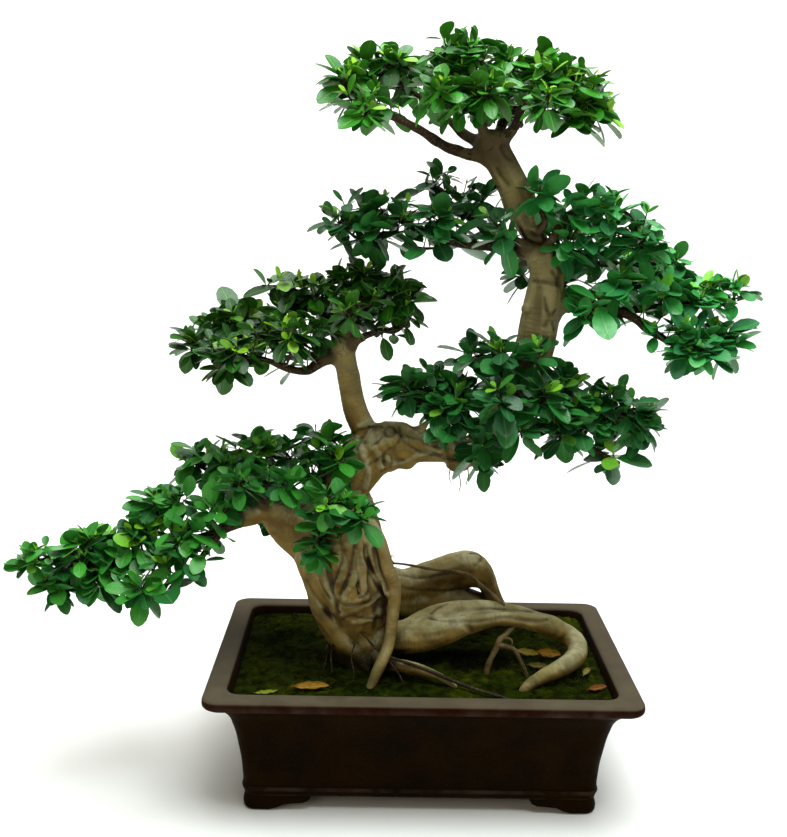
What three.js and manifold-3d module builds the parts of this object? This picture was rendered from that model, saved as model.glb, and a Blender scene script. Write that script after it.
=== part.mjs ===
// A fig bonsai in its footed tray, in millimetres with +Z up.
// The tray, the soil, the drain screens, the wood, each leafy branch and each fallen leaf are solids
// of their own. Places below are measured from the middle of the tray's footprint, with +X to the
// right of the front and +Y to the back.
import * as THREE from "three";
import { mergeVertices } from "three/addons/utils/BufferGeometryUtils.js";
import Module from "manifold-3d";

const wasm = await Module();
wasm.setup();

// The tray.
const RIM_LENGTH = 600;
const RIM_DEPTH = 388;
const TRAY_HEIGHT = 187;
const BODY_BOTTOM = 21;
const FLOOR_TOP = 36;
const FOOT_INSET = 50;
const FOOT_WALL = 26;
const DEPTH_FOOT_CUT = 16;
const FOOT_LENGTH = 96;
const CORNER_RADIUS = 22;
const CORNER_STEPS = 3;
const DRAIN_RADIUS = 11;
const DRAIN_SIDES = 10;
const DRAIN_SPACING = 260;

// The soil and what lies in it. Its mound round the foot of the trunk has a middle and a reach.
const GAP = 0.35;
const HOLE_GROWTH = GAP + 0.1;
const SOIL_GAP = 0.5;
const SOIL_EDGE = 173;
const SOIL_RISE = 8;
const MOUND_MIDDLE = [20, 5];
const MOUND_REACH = [190, 105];
const SOIL_RINGS = [0.8, 0.56, 0.34, 0.12];
const SCREEN_SIZE = 46;
const SCREEN_THICKNESS = 1.6;
const SCREEN_HOLES = 2;
const SCREEN_OPENING = 11.4;

// The branches. A leaf is a blade with its stalk, as long and as wide as these.
const LEAF_LENGTH = 43;
const LEAF_WIDTH = 21;
const LEAF_THICKNESS = 0.8;
const LEAF_CUP = 2.6;
const NOTCH_RADIUS = 3.2;
const LIMB_SIDES = 5;
const LIMB_REACH = 45;
const TWIG_SIDES = 3;
const TWIG_RADIUS = 1.5;
const CLEARANCE = 0.4;

// Turns and lifts that are tried in order to bring a leaf clear of its neighbours.
const NUDGES = [
  [0, 0],
  [0.25, 0.1],
  [-0.25, 0.1],
  [0, 0.4],
  [0.35, -0.2],
  [-0.35, -0.2],
  [0, -0.45],
];

// Height and inset from the rim's edge, from the underside of the body up its outer face to the rim.
const OUTER_PROFILE = [
  [BODY_BOTTOM, 51.5],
  [28, 50],
  [34, 47.5],
  [40, 50],
  [75, 47.5],
  [118, 40.5],
  [144, 33.5],
  [160, 23],
  [169, 10],
  [173, 0],
  [TRAY_HEIGHT - 2, 0],
  [TRAY_HEIGHT, 3],
];

// The same down the inner face from the rim to the floor.
const INNER_PROFILE = [
  [TRAY_HEIGHT, 28],
  [TRAY_HEIGHT - 3, 31],
  [150, 43],
  [95, 57],
  [FLOOR_TOP, 63],
];

// The foot's scalloped lower edge: distance from the tray's corner and height.
const FOOT_PROFILE = [
  [35, -1],
  [36, 1],
  [47, 3.5],
  [58, 9],
  [86, 11.5],
  [93, 15],
  [FOOT_LENGTH, BODY_BOTTOM],
];

// The wood: each stem or root is a route of points with the radius there.
const WOOD = [
  {
    name: "trunk",
    sides: 9,
    route: [
      [-84, -15, 122, 34],
      [-86, -15, 152, 36],
      [-95, -15, 203, 40],
      [-103, -15, 258, 53],
      [-112, -15, 309, 61],
      [-124, -12, 354, 62],
      [-124, -8, 394, 52],
      [-117, -4, 431, 38],
      [-91, 0, 475, 36],
      [-59, 5, 495, 34],
      [-20, 10, 498, 25],
      [37, 15, 483, 22],
      [72, 15, 489, 23],
      [99, 14, 513, 24],
      [120, 12, 547, 24],
      [136, 9, 590, 25],
      [153, 2, 645, 27],
      [160, 0, 705, 26],
      [163, 0, 750, 22],
      [150, 0, 795, 18],
      [126, -4, 838, 17],
      [106, -5, 880, 20],
      [77, -5, 922, 21],
    ],
  },
  {
    name: "left_leader",
    sides: 7,
    route: [
      [-68, 0, 500, 20],
      [-92, -2, 546, 18],
      [-108, -4, 585, 16],
      [-121, -5, 624, 15.5],
      [-124, -5, 637, 14],
    ],
  },
  {
    name: "low_limb",
    sides: 7,
    route: [
      [-128, -18, 345, 40],
      [-150, -22, 366, 34],
      [-186, -26, 389, 26],
      [-224, -32, 405, 17],
      [-253, -38, 400, 12],
    ],
  },
  {
    name: "front_loop_root",
    sides: 7,
    route: [
      [-80, -22, 206, 24],
      [-35, -30, 214, 23],
      [1, -35, 219, 22],
      [36, -40, 230, 18],
      [72, -42, 242, 13],
      [106, -42, 250, 10],
      [143, -36, 247, 11],
      [182, -26, 236, 13],
      [216, -14, 219, 14],
      [231, -36, 207, 14.5],
      [218, -68, 198, 14],
      [189, -93, 192, 13],
      [162, -111, 185, 10],
      [142, -124, 175, 7],
      [128, -134, 158, 5],
    ],
  },
  {
    name: "upper_lobe_root",
    sides: 6,
    route: [
      [-40, -14, 206, 14],
      [6, -5, 229, 18],
      [43, 0, 241, 18],
      [81, 0, 246, 16],
      [118, 0, 246, 15],
      [155, -6, 242, 12.5],
      [192, -16, 232, 11],
    ],
  },
  {
    name: "back_low_root",
    sides: 7,
    route: [
      [-80, 40, 246, 34],
      [-54, 62, 237, 34],
      [-20, 80, 230, 31],
      [22, 97, 227, 24],
      [66, 106, 226, 22],
      [107, 110, 218, 19],
      [140, 112, 203, 13],
      [166, 112, 178, 11],
      [178, 110, 154, 8],
    ],
  },
  {
    name: "back_arch_root",
    sides: 7,
    route: [
      [-80, 38, 268, 30],
      [-58, 52, 266, 31],
      [-23, 70, 265, 26],
      [16, 84, 275, 23],
      [56, 95, 281, 22],
      [92, 100, 281, 22],
      [116, 100, 265, 18],
      [130, 100, 238, 14],
      [142, 100, 205, 12],
    ],
  },
  {
    name: "front_thin_root",
    sides: 5,
    route: [
      [-80, -45, 196, 16],
      [-45, -72, 200, 13],
      [-8, -90, 198, 9.5],
      [40, -108, 190, 5.2],
      [80, -125, 183, 3.2],
      [112, -141, 177, 2.6],
      [122, -144, 164, 2],
    ],
  },
  {
    name: "hanging_root",
    sides: 5,
    route: [
      [-86, -42, 402, 9],
      [-66, -53, 372, 10.5],
      [-54, -61, 335, 11],
      [-43, -63, 298, 11],
      [-43, -68, 268, 9],
      [-48, -80, 226, 8.5],
      [-62, -97, 195, 8],
      [-74, -107, 170, 6],
    ],
  },
  {
    name: "left_root",
    sides: 6,
    route: [
      [-178, -18, 352, 13],
      [-168, -24, 308, 12],
      [-152, -32, 268, 11],
      [-130, -38, 236, 11],
      [-104, -42, 198, 12],
      [-92, -44, 168, 11],
    ],
  },
  {
    name: "left_foot_root",
    sides: 6,
    route: [
      [-100, -12, 230, 30],
      [-118, -4, 196, 24],
      [-136, 6, 172, 16],
      [-152, 14, 150, 9],
    ],
  },
  {
    name: "back_foot_root",
    sides: 6,
    route: [
      [-100, 10, 250, 34],
      [-104, 40, 206, 24],
      [-112, 66, 176, 15],
      [-120, 84, 152, 9],
    ],
  },
];

// A leafy branch: its limbs are routes of points with radii, and its sprays are the places of its
// tufts of leaves, as [x, y, z, reach sideways, reach upwards, number of leaves].
const BRANCHES = [
  {
    name: "crown_left",
    limbs: [
      [
        [74, -6, 915, 9],
        [47, -8, 914, 7.5],
        [16, -12, 921, 7],
        [-18, -18, 938, 6],
        [-58, -24, 955, 5],
        [-98, -28, 973, 3.5],
        [-128, -32, 985, 2.5],
      ],
    ],
    sprays: [
      [-124, -20, 996, 37, 29, 3],
      [-92, -70, 960, 34, 29, 3],
      [-114, 40, 983, 36, 28, 3],
    ],
  },
  {
    name: "crown_left_back",
    limbs: [
      [
        [72, 2, 923, 7.5],
        [50, 8, 931, 7],
        [31, 16, 946, 6],
        [12, 30, 961, 4.5],
        [-19, 45, 985, 3.5],
        [-50, 55, 1007, 2.5],
      ],
    ],
    sprays: [
      [-51, 10, 1024, 49, 27, 4],
      [-29, 100, 1009, 55, 29, 4],
    ],
  },
  {
    name: "crown_centre",
    limbs: [
      [
        [74, -16, 920, 8],
        [61, -28, 948, 6.5],
        [50, -42, 972, 5],
        [35, -52, 996, 3.5],
        [19, -55, 1013, 2.5],
      ],
    ],
    sprays: [
      [15, -20, 1036, 48, 32, 4],
      [2, -105, 981, 43, 28, 4],
      [61, -100, 988, 41, 30, 4],
    ],
  },
  {
    name: "crown_right_back",
    limbs: [
      [
        [83, 4, 923, 8],
        [97, 18, 954, 6.5],
        [118, 34, 975, 5.5],
        [149, 50, 996, 4],
        [180, 58, 1015, 2.5],
      ],
    ],
    sprays: [
      [92, 15, 1046, 49, 33, 4],
      [128, 115, 1019, 58, 29, 4],
      [176, 60, 1034, 45, 31, 3],
    ],
  },
  {
    name: "crown_right",
    limbs: [
      [
        [82, -8, 915, 9],
        [98, -16, 932, 7.5],
        [110, -24, 949, 6.5],
        [116, -32, 972, 5.5],
        [143, -40, 990, 4],
        [179, -42, 990, 3],
        [213, -44, 976, 2],
      ],
    ],
    sprays: [
      [157, -25, 1022, 45, 32, 4],
      [212, -20, 985, 32, 40, 4],
      [136, -95, 980, 41, 28, 4],
      [213, 50, 999, 39, 34, 3],
    ],
  },
  {
    name: "left_pad_low",
    limbs: [
      [
        [-123, -8, 628, 8.5],
        [-148, -14, 622, 7.5],
        [-169, -22, 609, 6.5],
        [-189, -30, 609, 5.5],
        [-212, -36, 619, 4.5],
        [-248, -40, 629, 3.5],
        [-286, -42, 635, 3],
        [-316, -42, 640, 2],
      ],
    ],
    sprays: [
      [-324, -30, 643, 36, 33, 4],
      [-261, -85, 642, 40, 29, 4],
      [-186, -90, 669, 45, 29, 4],
    ],
  },
  {
    name: "left_pad_mid",
    limbs: [
      [
        [-128, 0, 634, 8.5],
        [-157, 6, 624, 7.5],
        [-183, 14, 628, 6.5],
        [-204, 22, 630, 5.5],
        [-236, 32, 646, 4.5],
        [-277, 40, 663, 3],
        [-315, 44, 672, 2.5],
      ],
    ],
    sprays: [
      [-275, 20, 684, 48, 31, 4],
      [-245, 90, 662, 60, 30, 4],
      [-315, 40, 658, 38, 29, 3],
    ],
  },
  {
    name: "left_pad_top",
    limbs: [
      [
        [-124, 2, 641, 8],
        [-140, 8, 671, 6.5],
        [-166, 14, 701, 5],
        [-200, 18, 720, 3.5],
        [-237, 20, 722, 2.5],
      ],
    ],
    sprays: [
      [-193, 0, 716, 51, 31, 4],
    ],
  },
  {
    name: "left_pad_up",
    limbs: [
      [
        [-116, -6, 642, 8],
        [-110, -8, 676, 6],
        [-99, -10, 705, 5],
        [-75, -12, 722, 3.5],
        [-48, -12, 731, 2.5],
      ],
    ],
    sprays: [
      [-117, -8, 733, 47, 31, 4],
      [-50, -16, 720, 42, 36, 4],
    ],
  },
  {
    name: "left_pad_right",
    limbs: [
      [
        [-112, -12, 640, 6.5],
        [-92, -18, 657, 5],
        [-66, -24, 666, 4],
        [-41, -28, 672, 3.5],
        [-16, -32, 682, 2],
      ],
    ],
    sprays: [
      [-30, -30, 680, 28, 17, 3],
      [-106, -85, 680, 43, 29, 4],
    ],
  },
  {
    name: "left_pad_back",
    limbs: [
      [
        [-118, 8, 640, 7],
        [-112, 40, 662, 5],
        [-116, 70, 676, 4],
        [-129, 92, 679, 2.5],
      ],
    ],
    sprays: [
      [-122, 95, 688, 63, 30, 4],
      [-62, 55, 695, 41, 32, 3],
    ],
  },
  {
    name: "low_tip",
    limbs: [
      [
        [-250, -37, 400, 11],
        [-284, -44, 383, 8.5],
        [-319, -50, 368, 7],
        [-371, -55, 350, 6],
        [-410, -60, 341, 5],
        [-452, -62, 329, 4.5],
        [-501, -64, 318, 3],
        [-543, -66, 312, 2],
      ],
    ],
    sprays: [
      [-546, -66, 314, 45, 37, 4],
      [-476, -60, 343, 48, 40, 4],
      [-404, -50, 367, 45, 37, 4],
      [-350, -30, 407, 43, 34, 4],
      [-460, 0, 329, 47, 32, 3],
    ],
  },
  {
    name: "low_front",
    limbs: [
      [
        [-265, -52, 400, 5.5],
        [-291, -70, 380, 5],
        [-318, -86, 346, 4.5],
        [-343, -94, 331, 4],
        [-367, -102, 311, 3],
        [-393, -108, 301, 2.5],
      ],
    ],
    sprays: [
      [-391, -108, 309, 39, 25, 4],
      [-319, -84, 363, 39, 31, 4],
    ],
  },
  {
    name: "low_top_left",
    limbs: [
      [
        [-192, -12, 389, 8.5],
        [-228, 6, 420, 6.5],
        [-271, 22, 439, 5.5],
        [-314, 32, 445, 4],
        [-347, 38, 445, 2.5],
      ],
    ],
    sprays: [
      [-335, 36, 446, 45, 39, 4],
      [-241, 40, 468, 47, 33, 4],
      [-293, 90, 385, 52, 34, 3],
      [-186, 34, 449, 41, 33, 3],
    ],
  },
  {
    name: "low_mid",
    limbs: [
      [
        [-226, -42, 413, 7],
        [-238, -58, 435, 5.5],
        [-248, -70, 449, 4],
        [-258, -78, 460, 2.5],
      ],
    ],
    sprays: [
      [-259, -70, 446, 44, 39, 4],
      [-193, -70, 445, 42, 36, 4],
    ],
  },
  {
    name: "low_top_right",
    limbs: [
      [
        [-139, -20, 390, 8.5],
        [-148, -22, 432, 6.5],
        [-148, -22, 471, 5],
        [-137, -22, 494, 3.5],
        [-123, -22, 509, 2.5],
      ],
    ],
    sprays: [
      [-155, 0, 498, 40, 35, 4],
      [-107, -50, 484, 36, 34, 4],
    ],
  },
  {
    name: "low_front_trunk",
    limbs: [
      [
        [-140, -54, 376, 6],
        [-146, -74, 388, 5.5],
        [-136, -88, 408, 4.5],
        [-119, -98, 423, 3.5],
        [-94, -104, 428, 2.5],
      ],
    ],
    sprays: [
      [-135, -100, 434, 44, 33, 4],
      [-86, -104, 419, 36, 33, 4],
    ],
  },
  {
    name: "low_back",
    limbs: [
      [
        [-167, 12, 367, 9],
        [-200, 50, 377, 6.5],
        [-227, 80, 380, 5],
        [-248, 104, 379, 3],
      ],
    ],
    sprays: [
      [-249, 110, 384, 62, 37, 4],
      [-169, 90, 388, 53, 37, 4],
    ],
  },
  {
    name: "second_left",
    limbs: [
      [
        [145, -6, 779, 10.5],
        [112, -10, 780, 8.5],
        [78, -14, 785, 7],
        [50, -18, 786, 6.5],
        [21, -22, 793, 6],
        [-8, -26, 805, 5],
        [-37, -28, 815, 4],
        [-72, -30, 824, 3.5],
        [-110, -30, 827, 2.5],
        [-137, -30, 825, 2],
      ],
      [
        [28, -22, 789, 2.5],
        [18, -30, 783, 2],
        [2, -36, 775, 2],
        [-18, -42, 776, 2],
        [-32, -46, 781, 1.5],
      ],
    ],
    sprays: [
      [-126, -24, 827, 38, 27, 4],
      [-79, -38, 813, 35, 32, 4],
      [12, -38, 826, 38, 27, 4],
    ],
  },
  {
    name: "second_left_top",
    limbs: [
      [
        [105, 0, 780, 7],
        [71, 14, 809, 5],
        [37, 22, 836, 4],
        [6, 26, 852, 2.5],
      ],
    ],
    sprays: [
      [-3, 22, 860, 39, 31, 4],
      [64, 10, 850, 39, 33, 4],
    ],
  },
  {
    name: "second_left_front",
    limbs: [
      [
        [141, -7, 784, 7],
        [102, -42, 801, 4],
        [89, -56, 815, 3],
        [82, -64, 831, 2],
      ],
    ],
    sprays: [
      [94, -60, 807, 37, 35, 4],
    ],
  },
  {
    name: "second_left_hang",
    limbs: [
      [
        [143, 10, 764, 5],
        [120, 28, 754, 3],
        [114, 38, 739, 2.5],
        [126, 44, 724, 1.5],
      ],
    ],
    sprays: [
      [123, 44, 738, 26, 26, 3],
    ],
  },
  {
    name: "second_right_top",
    limbs: [
      [
        [152, -12, 780, 7],
        [165, -22, 796, 6],
        [171, -28, 811, 5],
        [191, -34, 830, 4],
        [225, -38, 842, 3.5],
        [263, -40, 834, 2.5],
        [292, -40, 816, 2],
      ],
    ],
    sprays: [
      [194, -28, 844, 41, 33, 4],
      [238, -44, 833, 43, 43, 4],
      [292, -24, 804, 36, 36, 3],
    ],
  },
  {
    name: "second_right_stub",
    limbs: [
      [
        [146, -14, 806, 5],
        [154, -24, 820, 4],
        [143, -34, 839, 3],
        [135, -40, 852, 2],
      ],
    ],
    sprays: [
      [143, -40, 863, 35, 27, 4],
    ],
  },
  {
    name: "second_right_mid",
    limbs: [
      [
        [169, 8, 756, 7],
        [202, 22, 763, 5.5],
        [247, 34, 761, 5],
        [297, 42, 762, 4],
        [338, 46, 765, 3],
        [367, 48, 772, 2],
      ],
    ],
    sprays: [
      [227, 28, 790, 43, 37, 4],
      [359, 40, 775, 40, 26, 4],
      [314, 95, 779, 50, 36, 3],
    ],
  },
  {
    name: "second_right_main",
    limbs: [
      [
        [163, -4, 712, 14],
        [186, -2, 708, 11.5],
        [210, 0, 706, 10],
        [241, 2, 702, 8],
        [280, 2, 694, 7],
        [295, -2, 686, 6],
        [312, -8, 672, 5.5],
        [332, -14, 660, 5],
        [366, -22, 651, 4],
        [396, -30, 636, 2.5],
      ],
    ],
    sprays: [
      [258, -30, 736, 44, 30, 4],
      [224, -44, 698, 30, 33, 3],
      [361, -36, 669, 44, 36, 4],
      [396, -38, 637, 36, 33, 4],
      [423, 10, 662, 37, 34, 3],
    ],
  },
  {
    name: "second_right_upper",
    limbs: [
      [
        [274, 8, 698, 5.5],
        [315, 16, 702, 5],
        [359, 22, 708, 4.5],
        [403, 26, 718, 3.5],
        [437, 28, 729, 2.5],
      ],
    ],
    sprays: [
      [326, -4, 729, 45, 34, 4],
      [381, 0, 713, 42, 34, 4],
      [424, 24, 729, 34, 37, 4],
    ],
  },
  {
    name: "second_right_back",
    limbs: [
      [
        [203, 14, 708, 7],
        [244, 50, 713, 5],
        [282, 84, 724, 4],
        [319, 106, 734, 2.5],
      ],
    ],
    sprays: [
      [313, 105, 734, 63, 39, 4],
      [389, 80, 720, 50, 33, 3],
    ],
  },
  {
    name: "mid_left",
    limbs: [
      [
        [123, 2, 561, 8.5],
        [89, -16, 574, 7],
        [45, -28, 583, 5.5],
        [3, -32, 583, 4],
        [-34, -34, 581, 2.5],
      ],
    ],
    sprays: [
      [-39, -32, 576, 34, 34, 4],
      [3, -14, 597, 40, 34, 4],
      [44, -60, 569, 44, 36, 4],
      [21, 40, 558, 44, 32, 3],
    ],
  },
  {
    name: "mid_left_top",
    limbs: [
      [
        [137, -8, 598, 7],
        [108, -26, 624, 5.5],
        [79, -34, 636, 4],
        [54, -36, 644, 2.5],
      ],
    ],
    sprays: [
      [58, -24, 637, 39, 34, 4],
      [98, -66, 646, 35, 30, 4],
    ],
  },
  {
    name: "mid_front",
    limbs: [
      [
        [125, -2, 566, 9],
        [114, -46, 571, 6],
        [105, -78, 571, 4.5],
        [94, -104, 571, 2.5],
      ],
    ],
    sprays: [
      [93, -112, 591, 43, 37, 4],
      [126, -90, 549, 43, 38, 4],
    ],
  },
  {
    name: "mid_trunk",
    limbs: [
      [
        [146, -18, 626, 5],
        [154, -38, 643, 3.5],
        [154, -50, 656, 2.5],
      ],
    ],
    sprays: [
      [148, -56, 649, 36, 27, 4],
    ],
  },
  {
    name: "mid_low",
    limbs: [
      [
        [67, -8, 489, 6.5],
        [73, -32, 501, 5],
        [74, -52, 503, 3.5],
        [74, -60, 490, 2],
      ],
    ],
    sprays: [
      [76, -62, 516, 39, 33, 4],
      [72, -60, 479, 22, 15, 3],
    ],
  },
  {
    name: "mid_right",
    limbs: [
      [
        [131, -8, 581, 10],
        [152, -20, 571, 8],
        [173, -28, 560, 7],
        [216, -36, 543, 5.5],
        [254, -38, 546, 4.5],
        [293, -40, 541, 3],
      ],
      [
        [204, -34, 547, 5],
        [220, -42, 512, 4],
        [239, -46, 491, 3.5],
        [256, -50, 477, 2.5],
      ],
    ],
    sprays: [
      [152, -84, 595, 41, 33, 4],
      [190, -12, 606, 37, 26, 4],
      [207, -48, 559, 45, 33, 4],
      [189, -64, 522, 36, 25, 3],
      [260, -30, 573, 37, 31, 4],
      [299, -38, 543, 39, 39, 4],
    ],
  },
  {
    name: "mid_back",
    limbs: [
      [
        [129, 14, 571, 8],
        [145, 46, 574, 6],
        [158, 78, 575, 4.5],
        [164, 102, 574, 3],
      ],
    ],
    sprays: [
      [122, 100, 564, 58, 40, 4],
      [204, 80, 557, 51, 36, 4],
    ],
  },
];

// Fallen leaves on the soil: place, turn in degrees, length and width, and the rise of the sides.
const FALLEN_LEAVES = [
  { name: "fallen_yellow_leaf", at: [-218, -134], turn: 14, size: [34, 19], curl: 1.5, color: 0xb9c23a },
  { name: "fallen_curled_leaf", at: [-157, -126], turn: 4, size: [54, 18], curl: 5, color: 0x8a5a2c },
  { name: "fallen_brown_leaf_left", at: [150, 2], turn: 35, size: [36, 20], curl: 3, color: 0x9a6330 },
  { name: "fallen_brown_leaf_right", at: [188, 6], turn: -20, size: [38, 21], curl: 4, color: 0xb08040 },
  { name: "fallen_brown_leaf_front", at: [168, -46], turn: 110, size: [32, 18], curl: 2, color: 0x7c4a22 },
  { name: "fallen_pale_leaf", at: [240, -62], turn: 60, size: [30, 15], curl: 5, color: 0xb7a27c },
  { name: "fallen_red_leaf", at: [246, -112], turn: 24, size: [34, 17], curl: 3, color: 0x6e2f1c },
];

const CLAY = { color: 0x2b1712, roughness: 0.55, metalness: 0 };
const EARTH = { color: 0x2e3a12, roughness: 1, metalness: 0 };
const PLASTIC = { color: 0x1d1d1d, roughness: 0.6, metalness: 0 };
const BARK = { color: 0xa8916c, roughness: 0.85, metalness: 0 };
const DRY_LEAF = { color: 0x8a5a2c, roughness: 0.8, metalness: 0 };
const LEAF_TOP = new THREE.Color(0x5f9a22);
const LEAF_SHADE = new THREE.Color(0x1f5230);

const UP = new THREE.Vector3(0, 0, 1);

// The triangles of a single leaf's face: a fan from its stalk, which is its first point.
const LEAF_FAN = [1, 2, 3, 4].map((corner) => [0, corner, corner + 1]);

// A repeatable number from 0 to 1 for each whole number.
function draw(index) {
  const wave = Math.sin(index * 12.9898) * 43758.5453;
  return wave - Math.floor(wave);
}

// A closed geometry as a solid that can be joined and cut.
function solidOf(geometry) {
  const bare = new THREE.BufferGeometry();
  bare.setAttribute("position", geometry.getAttribute("position"));
  bare.setIndex(geometry.index);
  const merged = mergeVertices(bare, 1e-3);
  const mesh = new wasm.Mesh({
    numProp: 3,
    vertProperties: new Float32Array(merged.attributes.position.array),
    triVerts: new Uint32Array(merged.index.array),
  });
  return new wasm.Manifold(mesh);
}

// A solid's surface as a geometry.
function geometryOf(solid) {
  const mesh = solid.getMesh();
  const geometry = new THREE.BufferGeometry();
  geometry.setAttribute("position", new THREE.BufferAttribute(mesh.vertProperties, 3));
  geometry.setIndex(new THREE.BufferAttribute(mesh.triVerts, 1));
  geometry.computeVertexNormals();
  return geometry;
}

// All the solids of a list joined in one.
function join(solids) {
  return solids.reduce((whole, next) => whole.add(next));
}

// The largest body of a solid, without the scraps that a cut leaves.
function largestBody(solid) {
  return solid.decompose().reduce((best, next) => (next.volume() > best.volume() ? next : best));
}

// A named mesh with a finish of its own.
function meshOf(name, solid, finish) {
  const mesh = new THREE.Mesh(geometryOf(solid), new THREE.MeshStandardMaterial(finish));
  mesh.name = name;
  return mesh;
}

// A closed skin over rings of points that all have the same number of points. Each ring runs
// anticlockwise round the way that the list goes, and the first and last are closed flat.
function skin(rings) {
  const count = rings[0].length;
  const top = (rings.length - 1) * count;
  const faces = [];
  for (let side = 1; side < count - 1; side++) {
    faces.push(0, side + 1, side);
    faces.push(top, top + side, top + side + 1);
  }
  for (let low = 0; low < top; low += count) {
    for (let side = 0; side < count; side++) {
      const next = (side + 1) % count;
      faces.push(low + side, low + next, low + count + next);
      faces.push(low + side, low + count + next, low + count + side);
    }
  }
  const geometry = new THREE.BufferGeometry().setFromPoints(rings.flat());
  geometry.setIndex(faces);
  return geometry;
}

// A rounded rectangle at one height, anticlockwise from above, with extra points along its sides.
function roundedRing(halfLength, halfDepth, radius, height, longSteps = 1, shortSteps = 1) {
  const corners = [
    [1, 1, longSteps],
    [-1, 1, shortSteps],
    [-1, -1, longSteps],
    [1, -1, shortSteps],
  ];
  const arcs = corners.map(([signX, signY], index) =>
    Array.from({ length: CORNER_STEPS + 1 }, (_, step) => {
      const angle = ((index + step / CORNER_STEPS) * Math.PI) / 2;
      return new THREE.Vector3(
        signX * (halfLength - radius) + radius * Math.cos(angle),
        signY * (halfDepth - radius) + radius * Math.sin(angle),
        height,
      );
    }),
  );
  return arcs.flatMap((arc, index) => {
    const start = arc.at(-1);
    const end = arcs[(index + 1) % 4][0];
    const steps = corners[index][2];
    const between = Array.from({ length: steps - 1 }, (_, step) =>
      start.clone().lerp(end, (step + 1) / steps),
    );
    return [...arc, ...between];
  });
}

// The radius of the tray's corners, which are sharper further in from the rim.
function cornerRadius(inset) {
  return CORNER_RADIUS - 0.2 * Math.max(0, inset - 30);
}

// The tray's outline at one height and inset.
function trayRing([height, inset]) {
  const halfLength = RIM_LENGTH / 2 - inset;
  const halfDepth = RIM_DEPTH / 2 - inset;
  return roundedRing(halfLength, halfDepth, cornerRadius(inset), height);
}

// A prism with the given outline in the X-Z plane, running from -reach to +reach along Y.
function prismAlongY(outline, reach) {
  const shape = new THREE.Shape(outline.map(([x, z]) => new THREE.Vector2(x, z)));
  const geometry = new THREE.ExtrudeGeometry(shape, { depth: 2 * reach, bevelEnabled: false });
  return geometry.rotateX(Math.PI / 2).translate(0, reach, 0);
}

// The gap between two feet seen square on, as an outline in X and Z.
function footGapOutline(halfLength) {
  const right = FOOT_PROFILE.map(([along, height]) => [halfLength - along, height]);
  const left = FOOT_PROFILE.map(([along, height]) => [along - halfLength, height]).reverse();
  return [...left, ...right].reverse();
}

// The tray: a walled body with a rolled rim and a bead at its base, four feet that are what the
// gaps leave of a ring under the body, and two drain holes.
function makeTray() {
  const body = solidOf(skin([...OUTER_PROFILE, ...INNER_PROFILE].map(trayRing)));
  const footRings = [
    [0, FOOT_INSET + 4],
    [4, FOOT_INSET],
    [13, FOOT_INSET - 0.5],
    [BODY_BOTTOM + 2, FOOT_INSET + 2.5],
  ];
  const base = solidOf(skin(footRings.map(trayRing)));
  const inner = [-1, BODY_BOTTOM].map((height) => trayRing([height, FOOT_INSET + FOOT_WALL]));
  const hollow = solidOf(skin(inner));
  const lengthGap = footGapOutline(RIM_LENGTH / 2 - FOOT_INSET);
  const depthGap = footGapOutline(RIM_DEPTH / 2 - FOOT_INSET + DEPTH_FOOT_CUT);
  const feet = base
    .subtract(hollow)
    .subtract(solidOf(prismAlongY(lengthGap, RIM_DEPTH)))
    .subtract(solidOf(prismAlongY(depthGap, RIM_LENGTH).rotateZ(Math.PI / 2)));
  const drains = [-1, 1].map((side) => {
    const drill = new THREE.CylinderGeometry(DRAIN_RADIUS, DRAIN_RADIUS, 2 * FLOOR_TOP, DRAIN_SIDES);
    drill.rotateX(Math.PI / 2).translate((side * DRAIN_SPACING) / 2, 0, FLOOR_TOP / 2);
    return solidOf(drill);
  });
  return body.add(feet).subtract(join(drains));
}

// A square screen over a drain hole, with a grid of square holes.
function makeScreen(centreX) {
  const plate = new THREE.BoxGeometry(SCREEN_SIZE, SCREEN_SIZE, SCREEN_THICKNESS);
  const pitch = SCREEN_SIZE / (SCREEN_HOLES + 0.5);
  const holes = [];
  for (let row = 0; row < SCREEN_HOLES; row++) {
    for (let column = 0; column < SCREEN_HOLES; column++) {
      const hole = new THREE.BoxGeometry(SCREEN_OPENING, SCREEN_OPENING, 3 * SCREEN_THICKNESS);
      const middle = (SCREEN_HOLES - 1) / 2;
      holes.push(solidOf(hole.translate((column - middle) * pitch, (row - middle) * pitch, 0)));
    }
  }
  return solidOf(plate)
    .subtract(join(holes))
    .translate([centreX, 0, FLOOR_TOP + GAP + SCREEN_THICKNESS / 2]);
}

// The soil's height: level at the tray's wall and gently raised round the foot of the trunk.
function soilHeight(x, y) {
  const along = (x - MOUND_MIDDLE[0]) / MOUND_REACH[0];
  const across = (y - MOUND_MIDDLE[1]) / MOUND_REACH[1];
  return SOIL_EDGE + SOIL_RISE * Math.exp(-along * along - across * across);
}

// The outline of the soil at one height, drawn in towards its middle by a share.
function soilRing(height, inset, share = 1) {
  const halfLength = (RIM_LENGTH / 2 - inset) * share;
  const halfDepth = (RIM_DEPTH / 2 - inset) * share;
  return roundedRing(halfLength, halfDepth, cornerRadius(inset) * share, height, 5, 3);
}

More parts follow.
